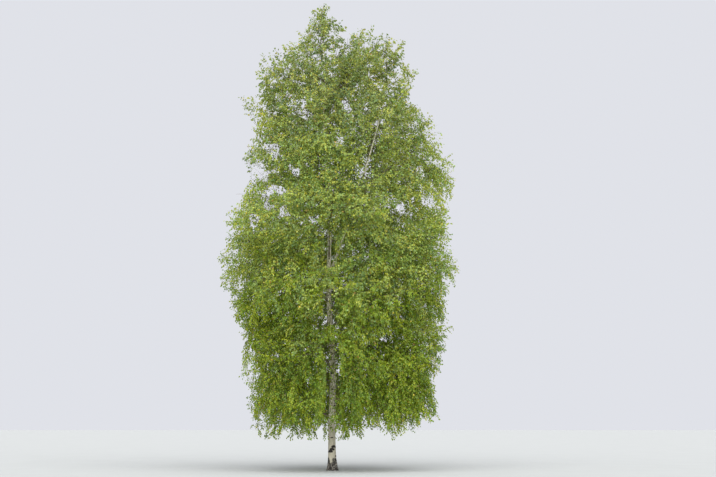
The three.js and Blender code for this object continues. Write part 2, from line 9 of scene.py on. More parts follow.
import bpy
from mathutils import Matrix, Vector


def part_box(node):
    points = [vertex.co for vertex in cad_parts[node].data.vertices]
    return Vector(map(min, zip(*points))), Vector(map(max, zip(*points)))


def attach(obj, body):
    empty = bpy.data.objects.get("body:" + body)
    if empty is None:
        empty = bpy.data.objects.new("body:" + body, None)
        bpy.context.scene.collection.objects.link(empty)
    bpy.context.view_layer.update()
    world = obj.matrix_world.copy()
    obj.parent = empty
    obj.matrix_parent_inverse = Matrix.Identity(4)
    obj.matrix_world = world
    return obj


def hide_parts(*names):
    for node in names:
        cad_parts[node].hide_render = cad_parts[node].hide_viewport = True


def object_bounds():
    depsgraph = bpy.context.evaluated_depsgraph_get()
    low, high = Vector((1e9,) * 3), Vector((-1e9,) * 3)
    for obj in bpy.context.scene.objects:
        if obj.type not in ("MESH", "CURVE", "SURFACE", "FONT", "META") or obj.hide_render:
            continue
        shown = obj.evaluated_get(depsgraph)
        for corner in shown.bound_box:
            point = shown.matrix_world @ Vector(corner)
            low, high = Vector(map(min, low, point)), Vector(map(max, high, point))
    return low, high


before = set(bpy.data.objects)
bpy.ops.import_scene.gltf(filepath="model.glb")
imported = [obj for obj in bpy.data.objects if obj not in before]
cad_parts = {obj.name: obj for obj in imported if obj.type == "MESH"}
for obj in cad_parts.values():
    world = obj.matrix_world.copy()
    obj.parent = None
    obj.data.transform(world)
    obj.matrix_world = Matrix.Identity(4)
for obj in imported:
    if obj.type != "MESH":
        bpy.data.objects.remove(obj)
cad_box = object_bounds()
print("CAD box", [[round(float(x), 3) for x in corner] for corner in cad_box])

# %% Modules
import math

import bpy
import numpy as np
from mathutils import Vector, noise
from mathutils.kdtree import KDTree

scene = bpy.context.scene
collection = scene.collection
print("Blender", bpy.app.version_string)

# %% [markdown]
# ## Camera
# The photograph was taken from eye height with the camera tipped up a little: the horizon lies low in the
# picture, and the trunk's foot is a little left of the middle. A lens of 50 mm on a 36 mm sensor, 35 m from
# the trunk, gives the tree the same height in the frame. The camera here is tipped up by the same angle, so
# the crown narrows upwards as it does there. A shifted lens would keep the trunk's sides parallel instead.

# %% Camera
EYE = (0.88, -35.0, 1.55)
LENS, SENSOR = 50.0, 36.0  # millimetres
TILT = 10.6  # degrees above level
FARTHEST_SEEN = 600.0

camera = bpy.data.objects.new("camera", bpy.data.cameras.new("camera"))
camera.data.lens = LENS
camera.data.sensor_width = SENSOR
camera.data.clip_end = FARTHEST_SEEN
camera.location = EYE
camera.rotation_euler = (math.radians(90 + TILT), 0, 0)
collection.objects.link(camera)
scene.camera = camera
print("camera", EYE, "lens", LENS, "tilt", TILT)

# %% [markdown]
# ## Node helpers
# Materials and Geometry Nodes are both trees of nodes. One helper adds a node, sets its options and fills its
# inputs: a value is written on the socket, and another node's output is linked to it. Every finish here
# starts from the place on the object, so a second helper makes a material that has this place ready.

# %% Node helpers
def node(tree, kind, inputs=None, **options):
    made = tree.nodes.new(kind)
    for name, value in options.items():
        setattr(made, name, value)
    for name, value in (inputs or {}).items():
        if isinstance(value, bpy.types.NodeSocket):
            tree.links.new(value, made.inputs[name])
        else:
            made.inputs[name].default_value = value
    return made


def new_material(name):
    """A material, its tree, and the socket that gives the place on the object."""
    material = bpy.data.materials.new(name)
    material.use_nodes = True
    tree = material.node_tree
    tree.nodes.clear()
    return material, tree, node(tree, "ShaderNodeTexCoord").outputs["Object"]


def show_surface(tree, shader):
    node(tree, "ShaderNodeOutputMaterial", {"Surface": shader.outputs[0]})


# %% [markdown]
# ## Sky, light and floor
# The real tree stands under one bright cloud cover: light comes from everywhere, and shadows are soft. A
# world of one pale bluish white gives that light. One very wide lamp adds the bright part of the cloud, which
# is high on the camera's side and a little to the right. A weaker one adds the low sky behind the camera, and
# keeps the shaded leaves from going black. The floor is plain and pale, and so wide that it ends at the
# horizon.

# %% Sky and light
SKY = (0.745, 0.76, 0.81)
LAMPS = {  # name: (the way the light travels, strength, how wide it is in degrees)
    "bright cloud": ((-0.15, 0.75, -0.9), 3.2, 80),
    "low sky": ((0.1, 1.0, -0.12), 2.0, 140),
}

scene.view_settings.view_transform = "Standard"
world = bpy.data.worlds.new("cloud cover")
world.use_nodes = True
background = world.node_tree.nodes["Background"]
background.inputs["Color"].default_value = (*SKY, 1)
background.inputs["Strength"].default_value = 1.0
scene.world = world

for name, (way, strength, width) in LAMPS.items():
    lamp = bpy.data.objects.new(name, bpy.data.lights.new(name, "SUN"))
    lamp.data.energy = strength
    lamp.data.angle = math.radians(width)
    lamp.rotation_euler = Vector(way).to_track_quat("-Z", "Y").to_euler()
    collection.objects.link(lamp)
    print(name, "strength", strength, "width", width)

# %% Floor
FLOOR_HALF = 260.0
FLOOR_COLOUR = (0.40, 0.41, 0.40, 1)
FLOOR_PATCH = (0.44, 0.45, 0.44, 1)

corners = [(-FLOOR_HALF, -FLOOR_HALF, 0), (FLOOR_HALF, -FLOOR_HALF, 0)]
corners += [(FLOOR_HALF, FLOOR_HALF, 0), (-FLOOR_HALF, FLOOR_HALF, 0)]
floor_mesh = bpy.data.meshes.new("floor")
floor_mesh.from_pydata(corners, [], [(0, 1, 2, 3)])
floor = bpy.data.objects.new("floor", floor_mesh)
collection.objects.link(floor)

floor_material, tree, place = new_material("plain floor")
mottle = node(tree, "ShaderNodeTexNoise", {"Vector": place, "Scale": 0.6, "Detail": 4.0}).outputs[0]
tone = node(tree, "ShaderNodeMix", {0: mottle, 6: FLOOR_COLOUR, 7: FLOOR_PATCH}, data_type="RGBA").outputs[2]
show_surface(tree, node(tree, "ShaderNodeBsdfPrincipled", {"Base Color": tone, "Roughness": 0.95}))
floor_mesh.materials.append(floor_material)
print("floor", 2 * FLOOR_HALF, "m wide")

# %% [markdown]
# ## The tree's rule
# A birch's limbs could be drawn by hand, but they follow a rule: one leading shoot, side shoots set round it
# in a spiral, each thinner and steeper than the one below, and all of them bending down under their own
# weight. The CAD model was made by this rule from named sizes, so the same sizes and the same steps stand
# here again, in metres. A number that looks random comes from the mass, the item and a channel, and is the
# same every time.

# %% Sizes of the trunk and the second leader
TREE_HEIGHT = 17.1
LOWEST_LEAF = 1.2  # the sprays that hang lowest stop this far above the ground
TRUNK_TOP = 15.9
TRUNK_RADIUS = 0.134  # at the ground, without the root flare
TRUNK_TAPER = 1.05  # over 1 thins the trunk a little faster low down
TRUNK_TIP_RADIUS = 0.008
TRUNK_RINGS = 16
RING_CROWDING = 1.8  # over 1 sets the rings closer together at the foot
FLARE_RADIUS = 0.066  # what the root flare adds at the ground
FLARE_HEIGHT = 0.23  # the height in which it falls to about a third
FLARE_LOBES = 5
LOBE_DEPTH = 0.3  # of the flare
LEAN = 0.54  # how far the top has moved to the left
LEAN_CURVE = 1.6  # over 1 gives the upper trunk more of the lean
SWAY = 0.055  # of the slow curves in the trunk, to each side
SWAY_LENGTH = 5.6  # of one whole curve
SWAY_START = 3.0  # from here up the curves are full size
LEADER_FOOT_HEIGHT = 6.7
LEADER_TOP = np.array((2.15, -0.62, 14.5))
LEADER_BOW = 0.33  # how far it bends out from the straight line
LEADER_RADIUS = 0.048
LEADER_TIP_RADIUS = 0.011
print("trunk", TRUNK_TOP, "m, leader", round(LEADER_TOP[2] - LEADER_FOOT_HEIGHT, 1), "m high")

# %% Chance and mixing
def chance(mass, item, channel):
    wave = math.sin(mass * 127.1 + item * 311.7 + channel * 74.7 + 1.3) * 43758.5453
    return wave - math.floor(wave)


def jitter(mass, item, channel, size):
    return (2 * chance(mass, item, channel) - 1) * size


def mix(first, second, share):
    return first + (second - first) * share


def clamp(value, least, most):
    return min(max(value, least), most)


def unit(ways):
    """Each way, in an array of them or alone, at length 1."""
    return ways / np.linalg.norm(ways, axis=-1, keepdims=True)


print("chance of the first three masses", [round(chance(mass, 0, 1), 3) for mass in (1, 2, 3)])

# %% Trunk line and radius
def trunk_middle(height):
    """The middle of the trunk at a height, or at each of an array of heights."""
    height = np.asarray(height, float)
    fade = np.clip(height / SWAY_START, 0, 1)
    wave = 2 * math.pi * height / SWAY_LENGTH
    lean = LEAN * np.maximum(height / TREE_HEIGHT, 0) ** LEAN_CURVE
    x = -lean - fade * SWAY * np.sin(wave + 0.9)
    y = fade * SWAY * np.cos(0.8 * wave + 0.4)
    return np.stack([x, y, height], axis=-1)


def trunk_radius(height):
    left = np.clip(1 - height / TRUNK_TOP, 0, 1)
    return TRUNK_TIP_RADIUS + (TRUNK_RADIUS - TRUNK_TIP_RADIUS) * left**TRUNK_TAPER


def flare_radius(height, angle):
    lobes = 1 + LOBE_DEPTH * np.cos(FLARE_LOBES * angle + 0.7)
    return FLARE_RADIUS * np.exp(-height / FLARE_HEIGHT) * lobes


trunk_line = trunk_middle(TRUNK_TOP * np.linspace(0, 1, TRUNK_RINGS + 1) ** RING_CROWDING)
print("trunk from", trunk_line[0].round(3), "to", trunk_line[-1].round(3))

# %% [markdown]
# ## The crown's outline
# Seen from the front, the crown has a low full belly, and three peaks where the trunk, a high bough and the
# second leader end. Its radius to the left and to the right of the trunk was measured on the photograph at a
# few heights. Between the sides and the front it follows a quarter of an ellipse. A limb stops at a share of
# this radius, so the whole crown takes the outline without any leaf being placed by hand. The fine leaves
# fill it less evenly: there are bays between lobes, the left side is drawn in above its shoulder, and the
# spire is slender.

# %% Crown outline
LEFT_PROFILE = np.array([  # heights and radii
    (1.25, 2.2), (2.0, 2.8), (4.4, 3.2), (6.6, 3.5), (7.9, 4.0), (9.4, 3.8), (10.2, 3.05),
    (12.0, 3.15), (12.9, 2.5), (13.8, 2.7), (14.8, 2.15), (15.5, 1.6), (16.2, 0.85), (17.1, 0.26),
])
RIGHT_PROFILE = np.array([
    (1.25, 2.4), (1.9, 3.2), (3.7, 4.05), (5.7, 4.5), (8.2, 4.55), (11.7, 4.25), (12.8, 3.9),
    (13.6, 3.35), (15.4, 3.45), (15.9, 3.1), (16.25, 1.7), (16.6, 0.6), (17.1, 0.26),
])
DEPTH_SHARE = 0.9  # the radius to the front and back, of the mean of the two sides


def crown_radius(height, azimuth):
    left = np.interp(height, LEFT_PROFILE[:, 0], LEFT_PROFILE[:, 1])
    right = np.interp(height, RIGHT_PROFILE[:, 0], RIGHT_PROFILE[:, 1])
    side = np.where(np.cos(azimuth) > 0, right, left)
    depth = DEPTH_SHARE * (left + right) / 2
    return 1 / np.hypot(np.cos(azimuth) / side, np.sin(azimuth) / depth)


def crown_share(points):
    """How far a point lies from the trunk's middle, as a share of the crown's radius there."""
    away = points - trunk_middle(points[..., 2])
    radius = crown_radius(points[..., 2], np.arctan2(away[..., 1], away[..., 0]))
    return np.hypot(away[..., 0], away[..., 1]) / radius


print("crown radius at 8 m to the right", round(float(crown_radius(8.0, 0.0)), 2))

# %% What fine leaves fill
LEAFY = (  # heights, and the share of the crown's radius that fine leaves fill there
    (1.2, 2.2, 3.6, 14.1, 14.8, 15.3, 15.9, 16.4, 16.8, 17.1),
    (1.28, 1.24, 1.1, 1.1, 0.95, 0.74, 0.58, 0.5, 0.8, 1.4),
)
BAYS = (0.32, 0.32, 0.62)  # in a metre, to the sides and upwards
BAY_DEPTH = 0.2  # of the radius
LEFT_WAIST = (  # heights, and the share by which the left side is narrower there
    (7.0, 7.6, 8.4, 8.9, 9.4, 9.9, 10.4, 11.0, 11.5, 12.3, 13.5, 14.1),
    (0.0, -0.1, -0.06, 0.04, 0.17, 0.18, 0.11, 0.06, 0.16, 0.08, 0.04, 0.0),
)
FULL_WAIST = 2.5  # metres left of the middle at which it is that narrow
BOX_SLACK = 0.12  # how far past the CAD model's box a twig may end or a leaf may start


def rough(points, scale, seed):
    """A smooth random height from -1 to 1 at each point, with bumps of about 1/scale."""
    flat = (points.reshape(-1, 3) * np.asarray(scale, float) + seed).tolist()
    return np.array([noise.noise(place) for place in flat]).reshape(points.shape[:-1])


def leafy_share(points):
    """How much of the crown's radius fine leaves fill, with its bays and the narrower left side."""
    bays = np.clip(0.5 - 1.3 * rough(points, BAYS, 7.0), 0, 1)
    waist = np.clip(-points[..., 0] / FULL_WAIST, 0, 1) * np.interp(points[..., 2], *LEFT_WAIST)
    return np.interp(points[..., 2], *LEAFY) * (1 - BAY_DEPTH * bays) * (1 - waist)


def in_wide_box(points):
    beyond = np.maximum(points - cad_box[1], np.array(cad_box[0]) - points)[..., :2]
    return beyond.max(axis=-1) < BOX_SLACK


print("filled at 8 m to the right", round(float(leafy_share(np.array((3.0, 0.0, 8.0)))), 2))

# %% [markdown]
# ## How a line grows
# Every limb, branch and hanging twig is a line that takes short steps. It starts at an angle from level and
# turns down a little with every step, as a shoot does that grows heavier than it grows stiff. A test after
# each step says when it ends: at its length, at the crown's outline or where a neighbour's space begins.

# %% Growing a line
STEP = 0.1
LONGEST_LINE = 5.2
NEAR = 0.02  # share of a line's length to each side, over which its direction is measured


def heading(azimuth, elevation):
    level = math.cos(elevation)
    return np.array((level * math.cos(azimuth), level * math.sin(azimuth), math.sin(elevation)))


def grow_line(start, azimuth, elevation, bend, stop, step=STEP, steepest=-math.pi):
    line = [np.array(start, float)]
    for i in range(round(LONGEST_LINE / STEP)):
        rise = max(elevation - bend * i * step, steepest)
        line.append(line[-1] + step * heading(azimuth, rise))
        if stop(line[-1], len(line) - 1):
            break
    return np.array(line)


def point_along(line, share):
    place = clamp(share, 0, 1) * (len(line) - 1)
    before = min(int(place), len(line) - 2)
    return mix(line[before], line[before + 1], place - before)


def direction_along(line, share):
    return unit(point_along(line, share + NEAR) - point_along(line, share - NEAR))


def rise_along(line, share):
    """The angle from level at which a line goes on."""
    return math.asin(clamp(float(direction_along(line, share)[2]), -1, 1))


# %% Second leader line
LEADER_POINTS = 41
BOW_FALL = math.radians(-20)  # it bends out and a little down

leader_foot = trunk_middle(LEADER_FOOT_HEIGHT)
leader_way = LEADER_TOP - leader_foot
leader_azimuth = math.atan2(leader_way[1], leader_way[0])
leader_middle = mix(leader_foot, LEADER_TOP, 0.5) + LEADER_BOW * heading(leader_azimuth, BOW_FALL)
places = np.linspace(0, 1, LEADER_POINTS)[:, None]
leader_line = mix(mix(leader_foot, leader_middle, places), mix(leader_middle, LEADER_TOP, places), places)


def leader_radius(share):
    return mix(LEADER_RADIUS, LEADER_TIP_RADIUS, share)


print("leader from", leader_line[0].round(2), "to", leader_line[-1].round(2))

# %% [markdown]
# ## Boughs and the stems of the masses
# Fifteen boughs leave the trunk in a spiral of 137.5 degrees, the step that keeps one shoot out of the shade
# of the last, and three leave the leader. Each turns aside where it would run into another limb. Above them
# the shoots are too thin for a bough and stand straight on the trunk. The numbers are the CAD model's, so
# each bough lies on its solid.

# %% Sizes of the boughs
TRUNK_BOUGHS, TRUNK_SHOOTS = 15, 13
LEADER_BOUGHS, LEADER_SHOOTS = 3, 5
LOWEST_BOUGH, HIGHEST_BOUGH = 1.75, 8.9
LOWEST_SHOOT, HIGHEST_SHOOT = 9.3, 15.4
LEADER_BOUGH_PLACES = (0.22, 0.5)  # first and last, shares of the leader's length
LEADER_SHOOT_PLACES = (0.58, 0.88)
SPIRAL_START, SPIRAL_STEP = 200, 137.5  # degrees
LEADER_SPIRAL_START, LEADER_SPIRAL_STEP = -62, 71
LOW_RISE, HIGH_RISE = 34, 62  # degrees from level
RISE_CHANGE = 5  # to each side
LOW_BEND, HIGH_BEND = 21, 5  # degrees a metre
STEM_REACH = 0.9  # of the crown's radius
BOUGH_SHARE = 0.38  # of the crown's radius: there the bough ends and its mass starts
LEAST_BOUGH_SHARE = 0.2  # that a bough covers, also where the leader stands far out
SHORTEST_BOUGH_STEPS = 5
BOUGH_THICKNESS = {"trunk": 0.36, "leader": 0.58}  # of the stem's radius where the bough leaves it
SHOOT_THICKNESS = 0.8
THINNEST_BOUGH = 0.017
BOUGH_TAPER = 0.45  # radius at the tip, of that at the foot
BOUGH_GAP = 0.09  # from a bough to any other limb
FREE_STEPS = 2  # near its stem the gap isn't asked for
TURN_ASIDE = math.radians(13)
TURNS = 12
LEAFY_START = 0.35  # of a bough's length: from here out it carries side branches
TRUNK_TIP_LENGTH, LEADER_TIP_LENGTH = 0.6, 0.4
print(TRUNK_BOUGHS + LEADER_BOUGHS, "boughs from", LOWEST_BOUGH, "m up")

# %% Distance to a limb
def gap_to(limb, points):
    """The shortest way from each point to a limb's surface."""
    points = np.atleast_2d(points)
    foot, along = limb["line"][:-1], np.diff(limb["line"], axis=0)
    away = points[:, None] - foot
    share = np.clip((away * along).sum(-1) / (along * along).sum(-1), 0, 1)
    gaps = np.linalg.norm(away - share[..., None] * along, axis=-1)
    ends = np.arange(1, len(foot) + 1) / len(foot)
    return (gaps - limb["radius"](ends)).min(axis=1)


trunk_limb = {"line": trunk_line, "radius": lambda share: trunk_radius(TRUNK_TOP * share**RING_CROWDING)}
leader_limb = {"line": leader_line, "radius": leader_radius}
limbs = [trunk_limb, leader_limb]
print("leader's top to the trunk", round(float(gap_to(trunk_limb, LEADER_TOP)[0]), 2), "m")

# %% Bough rule
def crown_line(start, azimuth, number):
    """A bough and the stem that carries on from its tip, as one line."""
    high = clamp((start[2] - LOWEST_BOUGH) / (HIGHEST_SHOOT - LOWEST_BOUGH), 0, 1)
    elevation = math.radians(mix(LOW_RISE, HIGH_RISE, high) + jitter(number, 0, 1, RISE_CHANGE))
    bend = math.radians(mix(LOW_BEND, HIGH_BEND, high))
    return grow_line(start, azimuth, elevation, bend, lambda point, _: crown_share(point) > STEM_REACH)


def bough_end(line):
    share = max(BOUGH_SHARE, crown_share(line[0]) + LEAST_BOUGH_SHARE)
    past = np.flatnonzero(crown_share(line) > share)
    end = past[0] if len(past) else -1
    return clamp(int(end), SHORTEST_BOUGH_STEPS, len(line) - 1 - SHORTEST_BOUGH_STEPS)


boughs = []
masses = []


def add_bough(names, stem_limb, kind, start, first_azimuth, stem_radius):
    """A bough and its mass, turned aside to the first direction that is clear of the other limbs."""
    number = len(masses) + 1
    others = [limb for limb in limbs if limb is not stem_limb]
    foot = max(BOUGH_THICKNESS[kind] * stem_radius, THINNEST_BOUGH)
    for turn in range(TURNS):
        azimuth = first_azimuth + TURN_ASIDE * math.ceil(turn / 2) * (1 if turn % 2 else -1)
        line = crown_line(start, azimuth, number)
        end = bough_end(line)
        if any(gap_to(limb, line[FREE_STEPS:end + 1]).min() <= BOUGH_GAP for limb in others):
            continue
        limbs.append({"line": line[:end + 1], "radius": lambda share: mix(foot, BOUGH_TAPER * foot, share)})
        boughs.append({"name": names[0], "line": line, "end": end, "foot": foot, "azimuth": azimuth})
        masses.append({"name": names[1], "line": line[end:], "azimuth": azimuth, "number": number,
                       "foot": BOUGH_TAPER * foot, "leafy": line[max(2, round(LEAFY_START * end)):]})
        return
    raise ValueError(names[0] + " finds no clear direction")


def slender(line):
    """The part of a high shoot that lies within the spire."""
    within = crown_share(line) < leafy_share(line)
    return line[:max(int(within.sum()), 4)]


def add_shoot(name, line, azimuth, foot, tip=False):
    masses.append({"name": name, "line": line, "azimuth": azimuth, "number": len(masses) + 1, "foot": foot,
                   "leafy": line if tip else line[1:], "tip": tip})


# %% Boughs and shoots
for i in range(TRUNK_BOUGHS):
    height = mix(LOWEST_BOUGH, HIGHEST_BOUGH, i / (TRUNK_BOUGHS - 1))
    azimuth = math.radians(SPIRAL_START + SPIRAL_STEP * i)
    names = (f"bough_{i + 1:02d}", f"foliage_{i + 1:02d}")
    add_bough(names, trunk_limb, "trunk", trunk_middle(height), azimuth, float(trunk_radius(height)))

for i in range(LEADER_BOUGHS):
    share = mix(*LEADER_BOUGH_PLACES, i / (LEADER_BOUGHS - 1))
    azimuth = math.radians(LEADER_SPIRAL_START + LEADER_SPIRAL_STEP * i)
    names = (f"leader_bough_{i + 1}", f"leader_foliage_{i + 1}")
    add_bough(names, leader_limb, "leader", point_along(leader_line, share), azimuth, leader_radius(share))

for i in range(TRUNK_SHOOTS):
    height = mix(LOWEST_SHOOT, HIGHEST_SHOOT, i / (TRUNK_SHOOTS - 1))
    azimuth = math.radians(SPIRAL_START + SPIRAL_STEP * (TRUNK_BOUGHS + i))
    line = slender(crown_line(trunk_middle(height), azimuth, len(masses) + 1))
    add_shoot(f"upper_foliage_{i + 1:02d}", line, azimuth, SHOOT_THICKNESS * float(trunk_radius(height)))

for i in range(LEADER_SHOOTS):
    share = mix(*LEADER_SHOOT_PLACES, i / (LEADER_SHOOTS - 1))
    azimuth = math.radians(LEADER_SPIRAL_START + SPIRAL_STEP * (i + 1))
    line = slender(crown_line(point_along(leader_line, share), azimuth, len(masses) + 1))
    name = f"leader_foliage_{LEADER_BOUGHS + 1 + i}"
    add_shoot(name, line, azimuth, SHOOT_THICKNESS * leader_radius(share))

UP = np.array((0.0, 0.0, 1.0))
for name, line, way, azimuth, foot, length in (
    ("trunk_tip_foliage", trunk_line, UP, 0, TRUNK_TIP_RADIUS, TRUNK_TIP_LENGTH),
    ("leader_tip_foliage", leader_line, direction_along(leader_line, 1), leader_azimuth, LEADER_TIP_RADIUS,
     LEADER_TIP_LENGTH),
):
    lengths = np.linspace(0, length, round(length / STEP) + 1)
    add_shoot(name, line[-1] + lengths[:, None] * way, azimuth, foot, tip=True)
print(len(boughs), "boughs,", len(masses), "masses")

# %% Check against the CAD nodes
missing = [mass["name"] for mass in masses if mass["name"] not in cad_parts]
offsets = []
for bough in boughs:
    low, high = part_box(bough["name"])
    tip = bough["line"][bough["end"]]
    offsets.append(max(max(low[k] - tip[k], tip[k] - high[k]) for k in range(3)))
print("nodes not found", missing, "and worst way from a bough's end to its CAD box", round(max(offsets), 4))

# %% [markdown]
# ## Bark meshes
# Bark isn't a smooth tube. Where a bough leaves, the trunk swells into a collar. At the foot the bark is
# thick, dark and cracked into plates; higher up it is thin paper with low ripples. Such relief can be a
# displacement in the material, but then it is missing from the mesh. Here each limb is a grid of rings, close
# together low down, and every point is moved out or in along its own radius.

# %% Ring meshes
def ring_mesh(name, grids):
    """One mesh from grids of rings, each an array of ring, side and place, closed at both ends by a fan."""
    vertices, faces, first = [], [], 0
    for grid in grids:
        rings, sides = grid.shape[:2]
        index = first + np.arange(rings * sides).reshape(rings, sides)
        low, high = index[:-1], index[1:]
        quads = np.stack([low, np.roll(low, -1, 1), np.roll(high, -1, 1), high], -1).reshape(-1, 4)
        foot, top = first + rings * sides, first + rings * sides + 1
        faces += quads.tolist()
        faces += [(foot, int(b), int(a)) for a, b in zip(index[0], np.roll(index[0], -1))]
        faces += [(top, int(a), int(b)) for a, b in zip(index[-1], np.roll(index[-1], -1))]
        vertices += [grid.reshape(-1, 3), grid[0].mean(0)[None], grid[-1].mean(0)[None]]
        first = top + 1
    mesh = bpy.data.meshes.new(name)
    mesh.from_pydata(np.concatenate(vertices).tolist(), [], faces)
    mesh.shade_smooth()
    return mesh


def add_piece(name, mesh):
    piece = bpy.data.objects.new(name, mesh)
    collection.objects.link(piece)
    return piece


# %% [markdown]
# ## Trunk
# The foot of an old birch is dark and rough: corky plates with deep upright cracks between them, which give
# way to white bark at about knee height. Above that, each place where a branch was shed is a black mark,
# wider than it is tall. The trunk is one grid of 72 sides. Three values are kept at each point for the
# material: how corky it is, how deep the crack is, and how near it lies to the middle of a mark.

# %% Trunk grid
TRUNK_GRID_SIDES = 72
RING_PLACES = [(0, 1.1, 0.008), (1.1, 3.0, 0.014), (3.0, TRUNK_TOP, 0.032)]  # from, to, between two rings

heights = np.concatenate([np.arange(*places) for places in RING_PLACES] + [[TRUNK_TOP]])
angles = np.linspace(0, 2 * math.pi, TRUNK_GRID_SIDES, endpoint=False)
outward = np.stack([np.cos(angles), np.sin(angles), np.zeros(TRUNK_GRID_SIDES)], -1)
ring_height, ring_angle = np.meshgrid(heights, angles, indexing="ij")
trunk_size = trunk_radius(ring_height) + flare_radius(ring_height, ring_angle)
trunk_grid = trunk_middle(ring_height) + trunk_size[..., None] * outward


def way_round(angle):
    """How far round the trunk each point of the grid lies from an angle, to either side, in metres."""
    return ((ring_angle - angle + math.pi) % (2 * math.pi) - math.pi) * trunk_size


print("trunk grid", trunk_grid.shape)

# %% Black marks
MARKS = [  # angle in degrees, height, half width, half height
    (-58, 0.82, 0.11, 0.05), (-88, 0.73, 0.11, 0.05), (-118, 0.66, 0.12, 0.055), (-152, 0.34, 0.09, 0.15),
    (-20, 0.50, 0.07, 0.035), (-70, 0.40, 0.05, 0.03), (35, 1.12, 0.055, 0.03), (110, 0.86, 0.06, 0.035),
    (-170, 1.22, 0.05, 0.03), (-85, 1.12, 0.06, 0.026), (-100, 1.46, 0.05, 0.024), (70, 1.75, 0.05, 0.028),
    (-150, 1.95, 0.045, 0.025), (-50, 2.2, 0.05, 0.026), (150, 2.5, 0.045, 0.025), (-95, 2.75, 0.045, 0.022),
    (10, 3.05, 0.045, 0.024),
]
MARK_DROOP = 0.55  # how much its two ends hang down
MARK_EDGE = 1.5  # half widths from the middle to where the last of it fades out


def brow(bough):
    """The black fold in the bark where a bough leaves the trunk."""
    height, foot = bough["line"][0][2], bough["foot"]
    height += 0.75 * trunk_radius(height) - 0.045
    return math.degrees(bough["azimuth"]), height, 1.9 * foot, 0.9 * foot


all_marks = MARKS + [brow(bough) for bough in boughs[:TRUNK_BOUGHS]]
marks = np.zeros(ring_height.shape)
for angle, height, half_width, half_height in all_marks:
    aside = np.abs(way_round(math.radians(angle))) / half_width
    over = np.abs((ring_height - height) / half_height + MARK_DROOP * aside)
    marks = np.maximum(marks, 1 - np.hypot(aside, over) / MARK_EDGE)
print(len(all_marks), "marks on the trunk")

# %% Cork and its cracks
CORK_TOP = 0.30  # where the corky foot has given way to white bark
CORK_BLUR = 0.45  # metres in which it does
HIGHEST_CRACK = 1.6
CRACK_WIDTH = 0.34  # of a plate


def crack_depth(points):
    """0 on a cork plate and 1 in the crack beside it. Cracks run between the cells of a stretched pattern."""
    depth = []
    for x, y, z in points.reshape(-1, 3).tolist():
        bent = noise.noise((x * 9, y * 9, z * 7)) * 0.5
        near = noise.voronoi((x * 21 + bent, y * 21 - bent, z * 7.5 + bent))[0]
        depth.append(1 - min((near[1] - near[0]) / CRACK_WIDTH, 1))
    return np.array(depth).reshape(points.shape[:-1])


patches = rough(trunk_grid, (7, 7, 2.2), 3.0)
cork = np.clip((CORK_TOP + 0.5 * patches - ring_height) / CORK_BLUR + 0.5, 0, 1)
corky = heights < HIGHEST_CRACK
cracks = np.zeros(ring_height.shape)
cracks[corky] = crack_depth(trunk_grid[corky])
print("cork on", round(100 * float(cork.mean())), "percent of the points")

# %% Trunk relief
PLATE_LIFT, CRACK_DEPTH, PLATE_GRAIN = 0.010, 0.017, 0.004
FINE_RIPPLE, SLOW_RIPPLE = 0.0022, 0.0045
SCAB_LIFT = 0.007  # of a black mark
COLLAR_LIFT = 0.5  # of the radius of the bough that leaves there
SMOOTH_LENGTH, LEAST_RELIEF = 5.0, 0.12  # thin wood near the top is smoother

plates = cork * (PLATE_LIFT - CRACK_DEPTH * cracks**1.5 + PLATE_GRAIN * rough(trunk_grid, 60, 9.0))
ripples = FINE_RIPPLE * rough(trunk_grid, (14, 14, 46), 1.0) + SLOW_RIPPLE * rough(trunk_grid, (5, 5, 6), 6.0)
scabs = SCAB_LIFT * np.clip(marks * 2.2, 0, 1) * (0.6 + 0.8 * rough(trunk_grid, 70, 4.0))
collars = np.zeros(ring_height.shape)
leader = {"line": leader_line, "foot": LEADER_RADIUS, "azimuth": leader_azimuth}
for bough in boughs[:TRUNK_BOUGHS] + [leader]:
    foot, foot_height = bough["foot"], bough["line"][0][2]
    foot_height = foot_height + 0.7 * trunk_radius(foot_height)
    away = np.hypot(way_round(bough["azimuth"]) / (1.5 * foot), (ring_height - foot_height) / (2.4 * foot))
    collars = np.maximum(collars, COLLAR_LIFT * foot * np.exp(-away**2))
fade = np.clip((TRUNK_TOP - ring_height) / SMOOTH_LENGTH, LEAST_RELIEF, 1)
lift = plates + fade * (ripples + scabs) + collars
lift[0] = np.maximum(lift[0], 0)  # the ring on the ground is nowhere drawn in
trunk_grid += lift[..., None] * outward
print("relief from", round(float(lift.min()), 4), "to", round(float(lift.max()), 4))

# %% Trunk piece
def keep_values(mesh, **values):
    """Keeps a value at each point of a mesh that has the fan's two middle points at its end."""
    for name, grid in values.items():
        attribute = mesh.attributes.new(name, "FLOAT", "POINT")
        ends = (grid[0].mean(), grid[-1].mean())
        attribute.data.foreach_set("value", np.append(grid.ravel(), ends).astype(np.float32))


trunk_mesh = ring_mesh("trunk_bark", [trunk_grid])
keep_values(trunk_mesh, cork=cork, crack=cracks, mark=marks)
trunk_bark = add_piece("trunk_bark", trunk_mesh)
print("trunk", len(trunk_mesh.polygons), "faces")

# %% [markdown]
# ## Leader and boughs
# The leader is as white as the trunk. The boughs are darker and smoother, thick where they leave the trunk
# and drawn out to the stem that carries the foliage. Each is a row of rings along its line, turned square to
# it. The frame that turns the rings is carried along the line, so the bark doesn't twist.

# %% Limb grids
KNOTS = 0.06  # of the radius: how far knots stand out


def smooth_line(line, spacing):
    """The same line with points at even distances."""
    lengths = np.append(0, np.cumsum(np.linalg.norm(np.diff(line, axis=0), axis=1)))
    count = max(int(lengths[-1] / spacing), 2) + 1
    places = np.linspace(0, lengths[-1], count)
    return np.stack([np.interp(places, lengths, line[:, k]) for k in range(3)], -1), places


